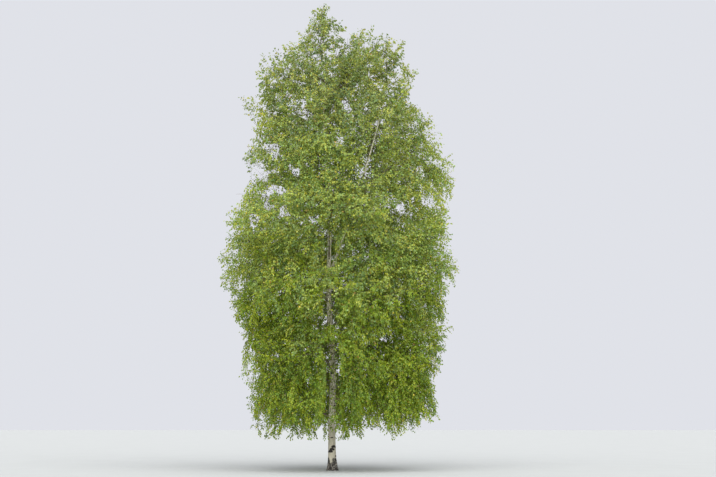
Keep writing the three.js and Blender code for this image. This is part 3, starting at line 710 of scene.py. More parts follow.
def limb_grid(line, radius_of, sides, spacing, seed):
    """Rings along a line. The radius is told the share of the length and the metres from the foot."""
    points, places = smooth_line(line, spacing)
    ways = unit(np.gradient(points, axis=0))
    across = unit(np.cross(ways[0], (0.13, 0.21, 0.97)) + 1e-6)
    turns = np.linspace(0, 2 * math.pi, sides, endpoint=False)
    grid = np.empty((len(points), sides, 3))
    for i, way in enumerate(ways):
        across = unit(across - way * (across @ way))
        over = np.cross(way, across)
        ring = np.cos(turns)[:, None] * across + np.sin(turns)[:, None] * over
        grid[i] = points[i] + radius_of(places[i] / places[-1], places[i]) * ring
    bumps = KNOTS * rough(grid, 16, seed) + 0.5 * KNOTS * rough(grid, 45, seed + 5)
    return points[:, None] + (grid - points[:, None]) * (1 + bumps[..., None])


# %% Leader piece
LEADER_SWELL, LEADER_SWELL_LENGTH = 0.5, 0.3  # how much thicker the foot is, and how soon that fades


def swollen_leader(share, metres):
    return leader_radius(share) * (1 + LEADER_SWELL * math.exp(-metres / LEADER_SWELL_LENGTH))


leader_mesh = ring_mesh("leader_bark", [limb_grid(leader_line, swollen_leader, 28, 0.028, 12.0)])
leader_bark = add_piece("leader_bark", leader_mesh)
print("leader", len(leader_mesh.polygons), "faces")

# %% Bough pieces
STEM_TIP_RADIUS = 0.004


def bough_radius(foot, end, length):
    """The radius of a bough that ends so many metres along its line, and of the stem beyond."""
    thin = BOUGH_TAPER * foot

    def radius(share, metres):
        if metres < end:
            tapered = mix(foot, thin, metres / end)
        else:
            tapered = mix(thin, STEM_TIP_RADIUS, (metres - end) / (length - end))
        return tapered * (1 + 0.35 * math.exp(-max(metres - 0.12, 0) / 0.07))  # swollen where it leaves

    return radius


bough_grids = []
for bough in boughs:
    radius = bough_radius(bough["foot"], bough["end"] * STEP, (len(bough["line"]) - 1) * STEP)
    bough_grids.append(limb_grid(bough["line"], radius, 14, 0.045, bough["azimuth"]))
bough_mesh = ring_mesh("bough_bark", bough_grids)
bough_bark = add_piece("bough_bark", bough_mesh)
print("boughs", len(bough_mesh.polygons), "faces")

# %% Upper shoots
THINNEST_SHOOT, THICKEST_SHOOT = 0.007, 0.03


def shoot_radius(foot):
    return lambda share, metres: mix(foot, STEM_TIP_RADIUS, share**0.7)


shoot_grids = []
for mass in masses[len(boughs):]:
    radius = shoot_radius(clamp(mass["foot"], THINNEST_SHOOT, THICKEST_SHOOT))
    shoot_grids.append(limb_grid(mass["line"], radius, 10, 0.06, 2.0 * mass["number"]))
shoot_mesh = ring_mesh("shoot_bark", shoot_grids)
shoot_bark = add_piece("shoot_bark", shoot_mesh)
print(len(shoot_grids), "shoots,", len(shoot_mesh.polygons), "faces")

# %% [markdown]
# ## Each mass's own space
# Two branches of one tree seldom cross: each fills the light that its neighbours leave. A point belongs to
# the mass whose stem, lowered a little because foliage hangs, is the nearest one. A tree of all these points
# answers that quickly. The fine twigs may reach a little way into a neighbour's space, so no seam shows
# between masses.

# %% Own space
SAG = 0.35
OVERREACH = 1.45  # a twig may be this much further from its own stem than from the nearest one
OVERREACH_SLACK = 0.05
TRUNK_CLEARANCE = 0.04


def point_tree(lines):
    found = KDTree(sum(len(line) for line in lines))
    for label, line in enumerate(lines):
        for point in line:
            found.insert(point, label)
    found.balance()
    return found


hangers = [mass["leafy"] - (0, 0, 0 if mass.get("tip") else SAG) for mass in masses]
every_hanger = point_tree(hangers)
own_hanger = [point_tree([line]) for line in hangers]


def in_own_space(point, mass):
    nearest = every_hanger.find(point)[2]
    own = own_hanger[mass["number"] - 1].find(point)[2]
    return own <= OVERREACH * nearest + OVERREACH_SLACK


def clear_of_trunk(point):
    gap = np.hypot(*(point - trunk_middle(point[2]))[:2]) - trunk_radius(point[2])
    return gap > TRUNK_CLEARANCE


print("points that the masses hang round", sum(map(len, hangers)))

# %% [markdown]
# ## Side branches
# Each stem carries side branches that leave it in turn to one side, the other, above and below. They grow by
# the rule of the CAD model's side twigs, only more of them, and the long ones carry a second row in the same
# way. A branch ends at its length, at the crown's outline or at the end of its own space, and where less than
# two steps are left it doesn't grow at all.

# %% Growing side branches
BRANCH_SPACING = 0.2
BRANCH_PLACES = (0.06, 0.94)  # first and last, shares of the length of what carries them
BRANCH_LENGTHS = (2.7, 1.8)  # at the foot and at the tip of what carries it
LENGTH_CHANGE = (0.65, 1.1)
UPPER_SHORTER = 0.3  # the share by which branches are shorter at the top of the crown
LOW_BRANCH_BEND, HIGH_BRANCH_BEND = 24, 6  # degrees a metre
BRANCH_SPREAD = math.radians(62)
BRANCH_WAYS = [(1, -8), (-1, 6), (0.35, 58), (-1, -42), (1, 30)]  # share of the spread, lift in degrees
TURN_CHANGE, LIFT_CHANGE = 0.22, 0.14  # radians
LONGEST_REACH = 1.03  # shares of the crown's radius: some branches end short of it, and leave a bay
LOW_REACH, HIGH_REACH = 0.87, 0.82  # the least, low and high in the crown
LOWEST_BRANCH = LOWEST_LEAF + 0.3
HIGHEST_BRANCH = TREE_HEIGHT - 0.2

random = np.random.default_rng(2061)


def grow_branch(bearer, index, share, full_length):
    mass, line = bearer["mass"], bearer["line"]
    start = point_along(line, share)
    high = start[2] / TREE_HEIGHT
    turn, lift = BRANCH_WAYS[(index + mass["number"]) % len(BRANCH_WAYS)]
    azimuth = bearer["azimuth"] + turn * BRANCH_SPREAD + random.normal(0, TURN_CHANGE)
    elevation = 0.5 * rise_along(line, share) + math.radians(lift) + random.normal(0, LIFT_CHANGE)
    bend = math.radians(mix(LOW_BRANCH_BEND, HIGH_BRANCH_BEND, high))
    length = full_length * random.uniform(*LENGTH_CHANGE)
    reach = random.uniform(mix(LOW_REACH, HIGH_REACH, high), LONGEST_REACH)
    if "reach" in bearer:  # a branch of the second row reaches no further than the one it stands on
        reach = min(bearer["reach"], reach + 0.1)
    reach = min(reach, 1)

    def stop(point, steps):
        outside = crown_share(point) > reach * leafy_share(point)
        outside = outside or not LOWEST_BRANCH < point[2] < HIGHEST_BRANCH
        return steps * STEP > length or outside or not in_own_space(point, mass)

    grown = grow_line(start, azimuth, elevation, bend, stop)[:-1]
    return {"line": grown, "azimuth": azimuth, "mass": mass, "reach": reach}


def grow_row(bearer, spacing, lengths):
    """Side branches at even places along a stem or a branch."""
    count = max(round(STEP * (len(bearer["line"]) - 1) / spacing), 2)
    shares = [mix(*BRANCH_PLACES, index / (count - 1)) for index in range(count)]
    row = [grow_branch(bearer, index, share, mix(*lengths, share)) for index, share in enumerate(shares)]
    return [branch for branch in row if len(branch["line"]) > 2 and clear_of_trunk(branch["line"][-1])]


# %% Side branches in two rows
SECOND_ROW_SPACING = 0.34
SECOND_ROW_SHARES = (0.55, 0.4)  # of the length of the branch that carries it, at its foot and at its tip
LONG_BRANCH = 0.6  # a longer one carries a second row

stems = [{"line": mass["leafy"], "azimuth": mass["azimuth"], "mass": mass} for mass in masses]
branches, second_row = [], []
for stem in stems:
    shorter = 1 - UPPER_SHORTER * stem["line"][0][2] / TREE_HEIGHT
    row = grow_row(stem, BRANCH_SPACING, [shorter * length for length in BRANCH_LENGTHS])
    branches += row
    for branch in row:
        length = STEP * (len(branch["line"]) - 1)
        if length > LONG_BRANCH:
            lengths = [share * length for share in SECOND_ROW_SHARES]
            second_row += grow_row(branch, SECOND_ROW_SPACING, lengths)
print(len(branches), "side branches,", len(second_row), "in the second row")

# %% [markdown]
# ## Hanging branchlets
# From the branches hang the long thin branchlets that make a silver birch. Low in the crown they fall almost
# straight down, and the lowest reach the hem; near the top they point out and up. Every third one starts
# upwards before it bends over, and one more leads each branch on at its tip. High up each branch also ends in
# a plume that stands out of the outline, and shoots crowd the last of the trunk and of the leader. A
# branchlet with its leaves is what one spray stands for in the CAD model.

# %% Starting a branchlet
CURTAIN_TOP = 4.2  # the branchlets that start below this reach down to the hem
CURTAIN_LENGTHS = (0.8, 1.2)  # of the way down to the hem
CURTAIN_EXTRA = 0.25
USUAL_REACH = 1.03  # the furthest, of what fine leaves fill
REACH_CHANGE = 0.06

starts = []


def add_start(bearer, share, azimuth, elevation, length, leading=False, reach=None):
    """Notes where and how a branchlet starts. Without a reach of its own it has about its bearer's."""
    place = point_along(bearer["line"], share)
    if place[2] < CURTAIN_TOP:
        length = max(length, CURTAIN_EXTRA + random.uniform(*CURTAIN_LENGTHS) * (place[2] - LOWEST_LEAF))
    if reach is None:
        reach = min(bearer.get("reach", 1) + random.uniform(0.0, REACH_CHANGE), USUAL_REACH)
    starts.append({"start": place, "azimuth": azimuth, "elevation": elevation, "length": length,
                   "reach": reach, "leading": leading, "mass": bearer["mass"]})


# %% Places of the branchlets
BRANCHLET_SPACING = 0.13
BRANCHLET_PLACES = (0.12, 0.95)  # first and last, shares of the length of what they stand on
LOW_BRANCHLET, HIGH_BRANCHLET = 1.5, 1.0  # full lengths, low and high in the crown
BRANCHLET_CHANGE = (0.45, 1.05)
LOW_START, HIGH_START = -26, 60  # degrees above level at which a branchlet leaves
START_CHANGE = 12
SPRAY_RISE = 28  # degrees above level, for every third one
SPRAY_SPREAD = math.radians(60)
PLUME_HEIGHT = 11.8  # above this every branch ends in a plume
PLUME_RISE = (0.95, 1.4)  # radians above level
PLUME_LENGTH = (0.7, 1.3)
PLUME_REACH = 1.27

for b, bearer in enumerate(stems + branches + second_row):
    line, high = bearer["line"], bearer["line"][0][2] / TREE_HEIGHT
    full = mix(LOW_BRANCHLET, HIGH_BRANCHLET, high)
    usual_rise = mix(LOW_START, HIGH_START, high**2)
    count = max(round(STEP * (len(line) - 1) / BRANCHLET_SPACING), 1)
    for k in range(count):
        azimuth = bearer["azimuth"] + SPRAY_SPREAD * (1 if (k + b) % 2 else -1) + random.normal(0, 0.3)
        rise = max(usual_rise, SPRAY_RISE) if (k + b) % 3 == 1 else usual_rise
        rise = math.radians(rise + random.normal(0, START_CHANGE))
        share = mix(*BRANCHLET_PLACES, k / count)
        add_start(bearer, share, azimuth, rise, full * random.uniform(*BRANCHLET_CHANGE))
    rise = rise_along(line, 1) + random.normal(-0.1, 0.2)
    azimuth = bearer["azimuth"] + random.normal(0, 0.3)
    add_start(bearer, 1, azimuth, rise, full * random.uniform(*BRANCHLET_CHANGE), leading=True)
    if line[-1][2] > PLUME_HEIGHT and b < len(stems) + len(branches):
        azimuth = bearer["azimuth"] + random.normal(0, 0.5)
        rise = random.uniform(*PLUME_RISE)
        add_start(bearer, 1, azimuth, rise, random.uniform(*PLUME_LENGTH), leading=True, reach=PLUME_REACH)
print(len(starts), "places for a branchlet")

# %% Shoots up the spires
SPIRE_START = 14.4  # height on the trunk
LEADER_SPIRE_POINTS = 6  # the leader's last ones, below its tip
SHOOTS_A_METRE = 15
SPIRE_RISE = (0.8, 1.35)  # radians above level
SPIRE_LENGTHS = (0.8, 0.62)  # of the lowest and of the highest shoot

trunk_end = trunk_middle(np.arange(SPIRE_START, TRUNK_TOP, STEP))
leader_end = leader_line[-1 - LEADER_SPIRE_POINTS:-1]
for mass, limb_end in ((masses[-2], trunk_end), (masses[-1], leader_end)):
    spire = {"line": np.concatenate([limb_end, mass["line"]]), "mass": mass}
    count = round(SHOOTS_A_METRE * len(spire["line"]) * STEP)
    for k in range(count):
        share = k / (count - 1)
        azimuth, rise = math.radians(SPIRAL_STEP * k), random.uniform(*SPIRE_RISE)
        add_start(spire, share, azimuth, rise, mix(*SPIRE_LENGTHS, share), leading=True)
print(len(starts), "places with the spires' shoots")

# %% [markdown]
# ## Light
# A crown thins itself: a shoot that grows into shade stays short or dies, so the leaves end up evenly spread,
# with less inside than outside, and less again at the rim, at the top and at the hem. The rule here counts
# the steps of twig in each cell of space. A branchlet stops where it comes to a cell that is full. They grow
# in a shuffled order, so that no bough takes all the light. Only a leading shoot grows in any case. Fewer are
# let through where the photograph shows white bark or sky: in front of three lengths of the trunk and one of
# the leader, and in some ragged gaps right through the crown, as they are seen from the camera.

# %% Light in each cell
CELL = 0.4
ROOM = ((0.4, 0.6, 0.85, 1.0), (1.4, 3.6, 4.3, 2.8))  # shares of the crown's radius, steps of twig in a cell
THIN_TOP = (  # heights, shares of the room
    (8.8, 10.0, 12.5, 14.5, 15.4, 16.0), (1.0, 0.8, 0.62, 0.42, 0.42, 1.5),
)
THIN_HEM = ((1.2, 2.7), (0.5, 1.0))
PATCHES, PATCH_CHANGE = 0.8, 0.75  # patches in a metre, and how much more or less room they have
WINDOW_ROOM = 0.08  # share of the room that is left in a window or a gap

filled = {}


def cell_of(point):
    return tuple(np.floor(point / CELL).astype(int).tolist())


print("cells of", CELL, "m hold up to", max(ROOM[1]), "steps of twig")

# %% Windows and sky gaps
WINDOWS = [  # lines of the limbs, from, to, half the width: where bark shows in the photograph
    (trunk_line, 1.9, 4.4, 0.34), (trunk_line, 5.1, 6.3, 0.3), (trunk_line, 7.1, 8.3, 0.26),
    (leader_line, 10.3, 12.6, 0.25),
]
SKY_GAPS = [  # middle to the right, height, radius: where sky shows through the crown in the photograph
    (-2.2, 11.4, 0.37), (-2.6, 10.5, 0.36), (-2.05, 10.0, 0.32), (-2.35, 9.5, 0.32), (-1.8, 9.1, 0.29),
    (-1.05, 12.7, 0.34), (0.45, 13.2, 0.28), (3.6, 12.0, 0.31), (3.4, 9.45, 0.27), (-0.8, 8.8, 0.25),
    (-2.9, 8.8, 0.27), (-1.3, 10.7, 0.27), (2.3, 9.2, 0.21),
]
RAGGED, RAGGED_DEPTH = 3.0, 1.3  # bumps in a metre on a gap's edge, and how deep they cut, of its radius


def in_window(points, width=1.0):
    """Which points hide such bark or such sky from the camera."""
    nearer = EYE[1] / (EYE[1] - points[..., 1])
    seen_x, seen_z = (EYE[k] + (points[..., k] - EYE[k]) * nearer for k in (0, 2))
    found = np.zeros(seen_x.shape, bool)
    for line, low, high, half_width in WINDOWS:
        aside = np.abs(seen_x - np.interp(seen_z, line[:, 2], line[:, 0]))
        found |= (aside < width * half_width) & (seen_z > low) & (seen_z < high)
    found &= points[..., 1] < 0  # what stands behind the limb hides no bark
    ragged = RAGGED_DEPTH * rough(np.stack([seen_x, 0 * seen_x, seen_z], -1), RAGGED, 17.0)
    for x, z, radius in SKY_GAPS:
        found |= np.hypot(seen_x - x, seen_z - z) / radius + ragged < width
    return found


def room_at(point):
    height = point[2]
    room = np.interp(crown_share(point), *ROOM) * np.interp(height, *THIN_TOP) * np.interp(height, *THIN_HEM)
    room *= 1 + PATCH_CHANGE * float(rough(point, PATCHES, 31.0))
    if in_window(point):
        room *= WINDOW_ROOM
    return room


print(len(WINDOWS), "windows and", len(SKY_GAPS), "sky gaps")

# %% Growing branchlets
BRANCHLET_STEP = 0.17
SHORTEST_BRANCHLET = 2  # steps
LOW_DROOP, HIGH_DROOP = 75, 16  # degrees a metre
STEEPEST = (-84, -60)  # degrees: some hang almost straight down, and others lean
HEM_CHANGE = (-0.3, 0.9)  # metres above the lowest leaf, where a branchlet ends
TOP_SLACK = 0.05


def droop_at(height):
    return math.radians(mix(LOW_DROOP, HIGH_DROOP, height / TREE_HEIGHT))


def grow_branchlet(start, azimuth, elevation, length, reach, leading, mass):
    lowest = LOWEST_LEAF + random.uniform(*HEM_CHANGE)
    steepest = math.radians(random.uniform(*STEEPEST))

    def stop(point, steps):
        outside = crown_share(point) > reach * leafy_share(point) or not in_wide_box(point)
        outside = outside or not lowest < point[2] < TREE_HEIGHT - TOP_SLACK
        shaded = not leading and filled.get(cell_of(point), 0) >= room_at(point)
        return steps * BRANCHLET_STEP > length or outside or shaded or not in_own_space(point, mass)

    line = grow_line(start, azimuth, elevation, droop_at(start[2]), stop, BRANCHLET_STEP, steepest)[:-1]
    return line if len(line) > SHORTEST_BRANCHLET and clear_of_trunk(line[-1]) else None


def try_branchlet(start):
    line = grow_branchlet(**start)
    if line is None:
        return
    branchlets.append({"line": line, "mass": start["mass"], "reach": max(start["reach"], 1)})
    for point in line[1:]:
        filled[cell_of(point)] = filled.get(cell_of(point), 0) + 1


branchlets = []
for k in random.permutation(len(starts)):
    try_branchlet(starts[k])
print(len(branchlets), "branchlets,", round(sum(len(b["line"]) for b in branchlets) * BRANCHLET_STEP), "m")

# %% [markdown]
# ## Shoots into the gaps
# Where two boughs leave a hollow between them, light falls in, and buds that slept before send shoots out to
# it. The cells are looked up in a shuffled order, and where one still has little twig in it, the branch
# nearest to it sends a branchlet that way. This keeps dark holes out of the crown's face without crowding the
# rest.

# %% Growing into the gaps
GAP_FILL = (  # heights, and the share of its room below which a cell is a gap
    (5.0, 7.0, 9.5, 11.5), (0.6, 0.4, 0.4, 0.25),
)
GAP_SHARES = (0.55, 0.97)  # of the crown's radius
GAP_HEIGHTS = (1.8, 14.4)
NEAREST_GAP, FARTHEST_GAP = 0.2, 2.0  # metres from a branch
PAST_GAP = 0.3  # metres that the shoot grows on

bearers = stems + branches + second_row
bearer_points = point_tree([bearer["line"] for bearer in bearers])
steps_in_box = [np.arange(math.floor(low / CELL), math.ceil(high / CELL)) for low, high in zip(*cad_box)]
centres = CELL * (np.stack(np.meshgrid(*steps_in_box, indexing="ij"), -1).reshape(-1, 3) + 0.5)
shares, centre_heights = crown_share(centres) / leafy_share(centres), centres[:, 2]
facing_light = (shares > GAP_SHARES[0]) & (shares < GAP_SHARES[1])
facing_light &= (centre_heights > GAP_HEIGHTS[0]) & (centre_heights < GAP_HEIGHTS[1])
for centre in random.permutation(centres[facing_light]):
    if filled.get(cell_of(centre), 0) >= np.interp(centre[2], *GAP_FILL) * room_at(centre):
        continue
    foot, label, distance = bearer_points.find(centre)
    if NEAREST_GAP < distance < FARTHEST_GAP:
        way = centre - foot
        rise = math.asin(way[2] / distance) + 0.5 * droop_at(foot[2]) * distance  # aims above the gap
        try_branchlet({"start": foot, "azimuth": math.atan2(way[1], way[0]), "elevation": rise, "reach": 1.0,
                       "length": distance + PAST_GAP, "leading": True, "mass": bearers[label]["mass"]})
print(facing_light.sum(), "cells looked up,", len(branchlets), "branchlets now")

# %% [markdown]
# ## Tubes for branches and branchlets
# A tube that follows a line is work for Geometry Nodes. The lines go in as a mesh of edges with a thickness
# at each point. The tree makes them curves and sweeps a ring along them that this thickness scales. The
# number of sides is a named input, because a thin branchlet needs only three.

# %% Tree that sweeps tubes
def new_tree(name, inputs):
    tree = bpy.data.node_groups.new(name, "GeometryNodeTree")
    tree.is_modifier = True
    tree.interface.new_socket("Geometry", in_out="OUTPUT", socket_type="NodeSocketGeometry")
    for label, kind in inputs:
        tree.interface.new_socket(label, in_out="INPUT", socket_type=kind)
    return tree, node(tree, "NodeGroupInput").outputs


def held(tree, name, kind):
    """The value that each point holds under a name."""
    return node(tree, "GeometryNodeInputNamedAttribute", {"Name": name}, data_type=kind).outputs[0]


def end_tree(tree, geometry, material):
    real = node(tree, "GeometryNodeRealizeInstances", {"Geometry": geometry})
    painted = node(tree, "GeometryNodeSetMaterial", {"Geometry": real.outputs[0], "Material": material})
    node(tree, "NodeGroupOutput", {0: painted.outputs[0]})
    print(tree.name, "has", len(tree.nodes), "nodes")


tube_tree, given = new_tree("tubes on lines", [
    ("Lines", "NodeSocketGeometry"), ("Sides", "NodeSocketInt"), ("Material", "NodeSocketMaterial")])
curves = node(tube_tree, "GeometryNodeMeshToCurve", {"Mesh": given["Lines"]})
ring = node(tube_tree, "GeometryNodeCurvePrimitiveCircle", {"Resolution": given["Sides"], "Radius": 1.0})
swept = node(tube_tree, "GeometryNodeCurveToMesh", {
    "Curve": curves.outputs[0], "Profile Curve": ring.outputs[0],
    "Scale": held(tube_tree, "thickness", "FLOAT"), "Fill Caps": True})
end_tree(tube_tree, swept.outputs[0], given["Material"])

# %% Running a tree
def run_tree(name, carrier_mesh, tree, settings):
    """The plain mesh object that a tree makes of a carrier mesh."""
    carrier = bpy.data.objects.new(name, carrier_mesh)
    collection.objects.link(carrier)
    modifier = carrier.modifiers.new(name, "NODES")
    modifier.node_group = tree
    sockets = {item.name: item.identifier for item in tree.interface.items_tree if item.in_out == "INPUT"}
    for label, value in settings.items():
        modifier[sockets[label]] = value
    made = bpy.data.meshes.new_from_object(carrier.evaluated_get(bpy.context.evaluated_depsgraph_get()))
    for kept in ("thickness", "along", "facing", "size"):
        if kept in made.attributes:
            made.attributes.remove(made.attributes[kept])
    bpy.data.objects.remove(carrier)
    made.name = name
    return add_piece(name, made)


def hold(mesh, **values):
    """Lets each point of a mesh hold a number or a way, under a name."""
    for name, given in values.items():
        kind, field = ("FLOAT", "value") if given.ndim == 1 else ("FLOAT_VECTOR", "vector")
        mesh.attributes.new(name, kind, "POINT").data.foreach_set(field, given.astype(np.float32).ravel())


def line_mesh(lines, thicknesses):
    mesh = bpy.data.meshes.new("lines")
    starts = np.cumsum([0] + [len(line) for line in lines])
    edges = [(i, i + 1) for a, b in zip(starts[:-1], starts[1:]) for i in range(a, b - 1)]
    mesh.from_pydata(np.concatenate(lines).tolist(), edges, [])
    hold(mesh, thickness=np.concatenate(thicknesses))
    return mesh


# %% [markdown]
# ## Twiglets
# A branchlet carries short side twigs in a spiral round it, longest at four tenths of its length, so the
# whole has the outline of a spindle, as the CAD spray has. Gravity bends each one over. One small bent twig
# is repeated on points, and every point holds the way the twig leaves, the way that is up for it, and its
# length.

# %% Placing twiglets
TWIGLET_SPACING = 0.085
TWIGLET_ANGLE = math.radians(55)
SPRAY_WIDTH = 0.78
SPRAY_WIDEST = 0.42  # of its length, from its root
NARROW = ((1.5, 6.0, 11.5, 14.5), (0.88, 1.0, 1.0, 0.62))  # heights, shares of the width and the angle
HANG = ((2.0, 11.0), (0.32, 0.05))  # heights, how far a twiglet turns down
TWIGLET_SAG = 0.3  # of its length
TWIGLET_CHANGE = (0.55, 1.1)
SHORTEST_TWIGLET = 0.06

roots, ways, spans, owners = [], [], [], []
for number, branchlet in enumerate(branchlets):
    line = branchlet["line"]
    length = BRANCHLET_STEP * (len(line) - 1)
    count = max(int(length / TWIGLET_SPACING), 1)
    shares = (np.arange(count) + random.uniform(0.2, 0.8, count)) / count
    place = shares * (len(line) - 1)
    before = np.minimum(place.astype(int), len(line) - 2)
    tangent = unit(line[before + 1] - line[before])
    beside = unit(np.cross(tangent, (0.3, 0.2, 1.0)))
    over = np.cross(beside, tangent)
    turn = (random.uniform(0, 2 * math.pi) + math.radians(SPIRAL_STEP) * np.arange(count))[:, None]
    narrow = np.interp(line[0][2], *NARROW)
    way = math.cos(narrow * TWIGLET_ANGLE) * tangent
    way = way + math.sin(narrow * TWIGLET_ANGLE) * (np.cos(turn) * beside + np.sin(turn) * over)
    way = unit(way + random.normal(0, 0.22, way.shape) - UP * np.interp(line[0][2], *HANG))
    spindle = np.where(shares < SPRAY_WIDEST, 0.45 + 0.55 * shares / SPRAY_WIDEST,
                       0.3 + 0.7 * (1 - shares) / (1 - SPRAY_WIDEST))
    widest = 0.5 * narrow * SPRAY_WIDTH * (0.25 + 0.8 * length)
    roots.append(mix(line[before], line[before + 1], (place - before)[:, None]))
    ways.append(way)
    spans.append(widest * spindle * random.uniform(*TWIGLET_CHANGE, count))
    owners.append(np.full(count, number))
roots, ways, spans, owners = (np.concatenate(value) for value in (roots, ways, spans, owners))
spans = np.maximum(spans, SHORTEST_TWIGLET)
print(len(roots), "twiglets,", round(spans.sum()), "m")

# %% Keeping inside the crown
HEM_SLACK = 0.15  # the last leaves of a hanging twig are a little lower than the rule's lowest leaf

over = unit(UP - ways * ways[:, 2:])  # up, square to the twiglet
tips = roots + spans[:, None] * (ways - TWIGLET_SAG * over)
reaches = np.array([branchlet["reach"] for branchlet in branchlets])
inside = (crown_share(tips) < reaches[owners] * leafy_share(tips)) & (tips[:, 2] > LOWEST_LEAF - HEM_SLACK)
inside &= (tips[:, 2] < TREE_HEIGHT) & in_wide_box(tips)
roots, ways, over, spans, owners = (value[inside] for value in (roots, ways, over, spans, owners))
print(len(roots), "twiglets inside the crown")

# %% [markdown]
# ## Leaves
# A birch leaf is a rhomb with a drawn-out tip, 4 to 7 cm long, on a thin stalk that lets it hang and flutter.
# The real tree has more than can be made here, so each leaf is a little larger than life. Two triangles give
# the outline and the fold along its midrib. Leaves stand in turn to the left and right of their twig, turn
# their faces out to the light and let their tips sink, so from any side some face the eye and others show
# their edge.

# %% Rows of leaves
LEAF_LENGTHS = ((3.0, 9.0, 15.0), (0.070, 0.079, 0.088))  # heights, full lengths
LEAF_SPACING = ((10.5, 14.0), (0.46, 0.335))  # heights, shares of a leaf's length along a twiglet
BRANCHLET_LEAF_SPACING = ((10.5, 14.0), (0.75, 0.45))
LEAF_SINK = (0.35, 1.5)  # how much a leaf points down, against its way out
LEAF_UNREST = 0.28
STALK = 0.018


def leaf_length(height):
    return np.interp(height, *LEAF_LENGTHS)


def leaf_rows(root, way, up, span, owner, spacing):
    """Where each leaf starts, which way it points and whose it is, at even steps along sagging twigs."""
    counts = np.maximum((span / (np.interp(root[:, 2], *spacing) * leaf_length(root[:, 2]))).astype(int), 1)
    twig = np.repeat(np.arange(len(root)), counts)
    step = np.arange(counts.sum()) - np.repeat(np.cumsum(counts) - counts, counts)
    share = (step + 1) / counts[twig]
    sag = TWIGLET_SAG * share[:, None] * up[twig]
    base = root[twig] + span[twig, None] * (share[:, None] * way[twig] - sag)
    across = unit(np.cross(way, up))[twig] * np.where(step % 2, 1, -1)[:, None]
    last = (share > 0.999)[:, None]  # the last leaf points on along its twig
    along = np.where(last, way[twig], 0.45 * way[twig] + 0.75 * across)
    along = along - UP * random.uniform(*LEAF_SINK, (len(twig), 1))
    along = unit(along + random.normal(0, LEAF_UNREST, (len(twig), 3)))
    return base + STALK * along, along, owner[twig]


def branchlet_rows():
    """The same for the branchlets, a straight piece at a time."""
    foot = np.concatenate([branchlet["line"][:-1] for branchlet in branchlets])
    piece = np.concatenate([np.diff(branchlet["line"], axis=0) for branchlet in branchlets])
    owner = np.concatenate([np.full(len(b["line"]) - 1, number) for number, b in enumerate(branchlets)])
    span = np.linalg.norm(piece, axis=1)
    way = piece / span[:, None]
    return leaf_rows(foot, way, unit(UP - way * way[:, 2:] + 1e-4), span, owner, BRANCHLET_LEAF_SPACING)


# %% Placing leaves
LEAF_SIZES = (0.72, 1.12)  # shares of the full length
OUT_TO_LIGHT, UP_TO_LIGHT, TURNED_AWAY = 0.65, 0.4, 0.75  # how a leaf's face turns
LEAF_REACH = 1.03  # past the reach of its spray
WINDOW_LEAVES = 0.16  # of the leaves that would stand in the middle of a window
WINDOW_MIDDLE = 0.75  # of its width
LEAF_AREA = 0.42  # of a square on its length

rows = [leaf_rows(roots, ways, over, spans, owners, LEAF_SPACING), branchlet_rows()]
base, along, owner = (np.concatenate(value) for value in zip(*rows))
outwards = unit((base - trunk_middle(base[:, 2])) * (1, 1, 0) + 1e-6)
facing = unit(OUT_TO_LIGHT * outwards + UP_TO_LIGHT * UP + random.normal(0, TURNED_AWAY, base.shape))
size = leaf_length(base[:, 2]) * random.uniform(*LEAF_SIZES, len(base))
leaves = {"base": base, "along": along, "facing": facing, "size": size, "owner": owner}


def only(leaves, kept):
    return {name: values[kept] for name, values in leaves.items()}


in_crown = (base[:, 2] > LOWEST_LEAF - HEM_SLACK) & in_wide_box(base)
in_crown &= crown_share(base) < LEAF_REACH * reaches[owner] * leafy_share(base)
leaves = only(leaves, in_crown)
hiding = in_window(leaves["base"], WINDOW_MIDDLE)
hiding &= random.uniform(0, 1, len(hiding)) > WINDOW_LEAVES
leaves = only(leaves, ~hiding)
leaf_area = LEAF_AREA * (leaves["size"] ** 2).sum()
print(len(leaves["base"]), "leaves,", round(leaf_area), "square metres of leaf")

# %% [markdown]
# ## Repeating on points
# Both the twiglet and the leaf are one small shape repeated tens of thousands of times, and that is what the
# node Instance on Points is for. Two ways held at each point turn the shape: its length goes along the first,
# and its face looks to the second. The tree ends in real geometry, because an exported model keeps no
# instances.

# %% Tree that repeats a shape
repeat_tree, given = new_tree("shape on points", [
    ("Points", "NodeSocketGeometry"), ("Shape", "NodeSocketObject"), ("Material", "NodeSocketMaterial")])
shape = node(repeat_tree, "GeometryNodeObjectInfo", {"Object": given["Shape"]})
turned = node(repeat_tree, "FunctionNodeAxesToRotation", {
    "Primary Axis": held(repeat_tree, "along", "FLOAT_VECTOR"),
    "Secondary Axis": held(repeat_tree, "facing", "FLOAT_VECTOR")}, primary_axis="Y", secondary_axis="Z")
placed = node(repeat_tree, "GeometryNodeInstanceOnPoints", {
    "Points": given["Points"], "Instance": shape.outputs["Geometry"], "Rotation": turned.outputs[0],
    "Scale": held(repeat_tree, "size", "FLOAT")})
end_tree(repeat_tree, placed.outputs[0], given["Material"])

# %% Points and shapes
LEAF_OUTLINE = [(0, 0, 0), (0.42, 0.38, 0.11), (0, 1, -0.03), (-0.42, 0.38, 0.11)]
TWIGLET_RADIUS = 0.0045  # at its root, of its length
TWIGLET_CORNERS = (0.5, 0.5 + 2.0944, 0.5 + 4.1888)  # radians round its root


def point_mesh(base, along, facing, size):
    mesh = bpy.data.meshes.new("points")
    mesh.vertices.add(len(base))
    mesh.vertices.foreach_set("co", base.astype(np.float32).ravel())
    hold(mesh, along=along, facing=facing, size=size)
    return mesh


def shape_object(name, vertices, faces):
    mesh = bpy.data.meshes.new(name)
    mesh.from_pydata(vertices, [], faces)
    print(name, len(vertices), "points")
    return bpy.data.objects.new(name, mesh)


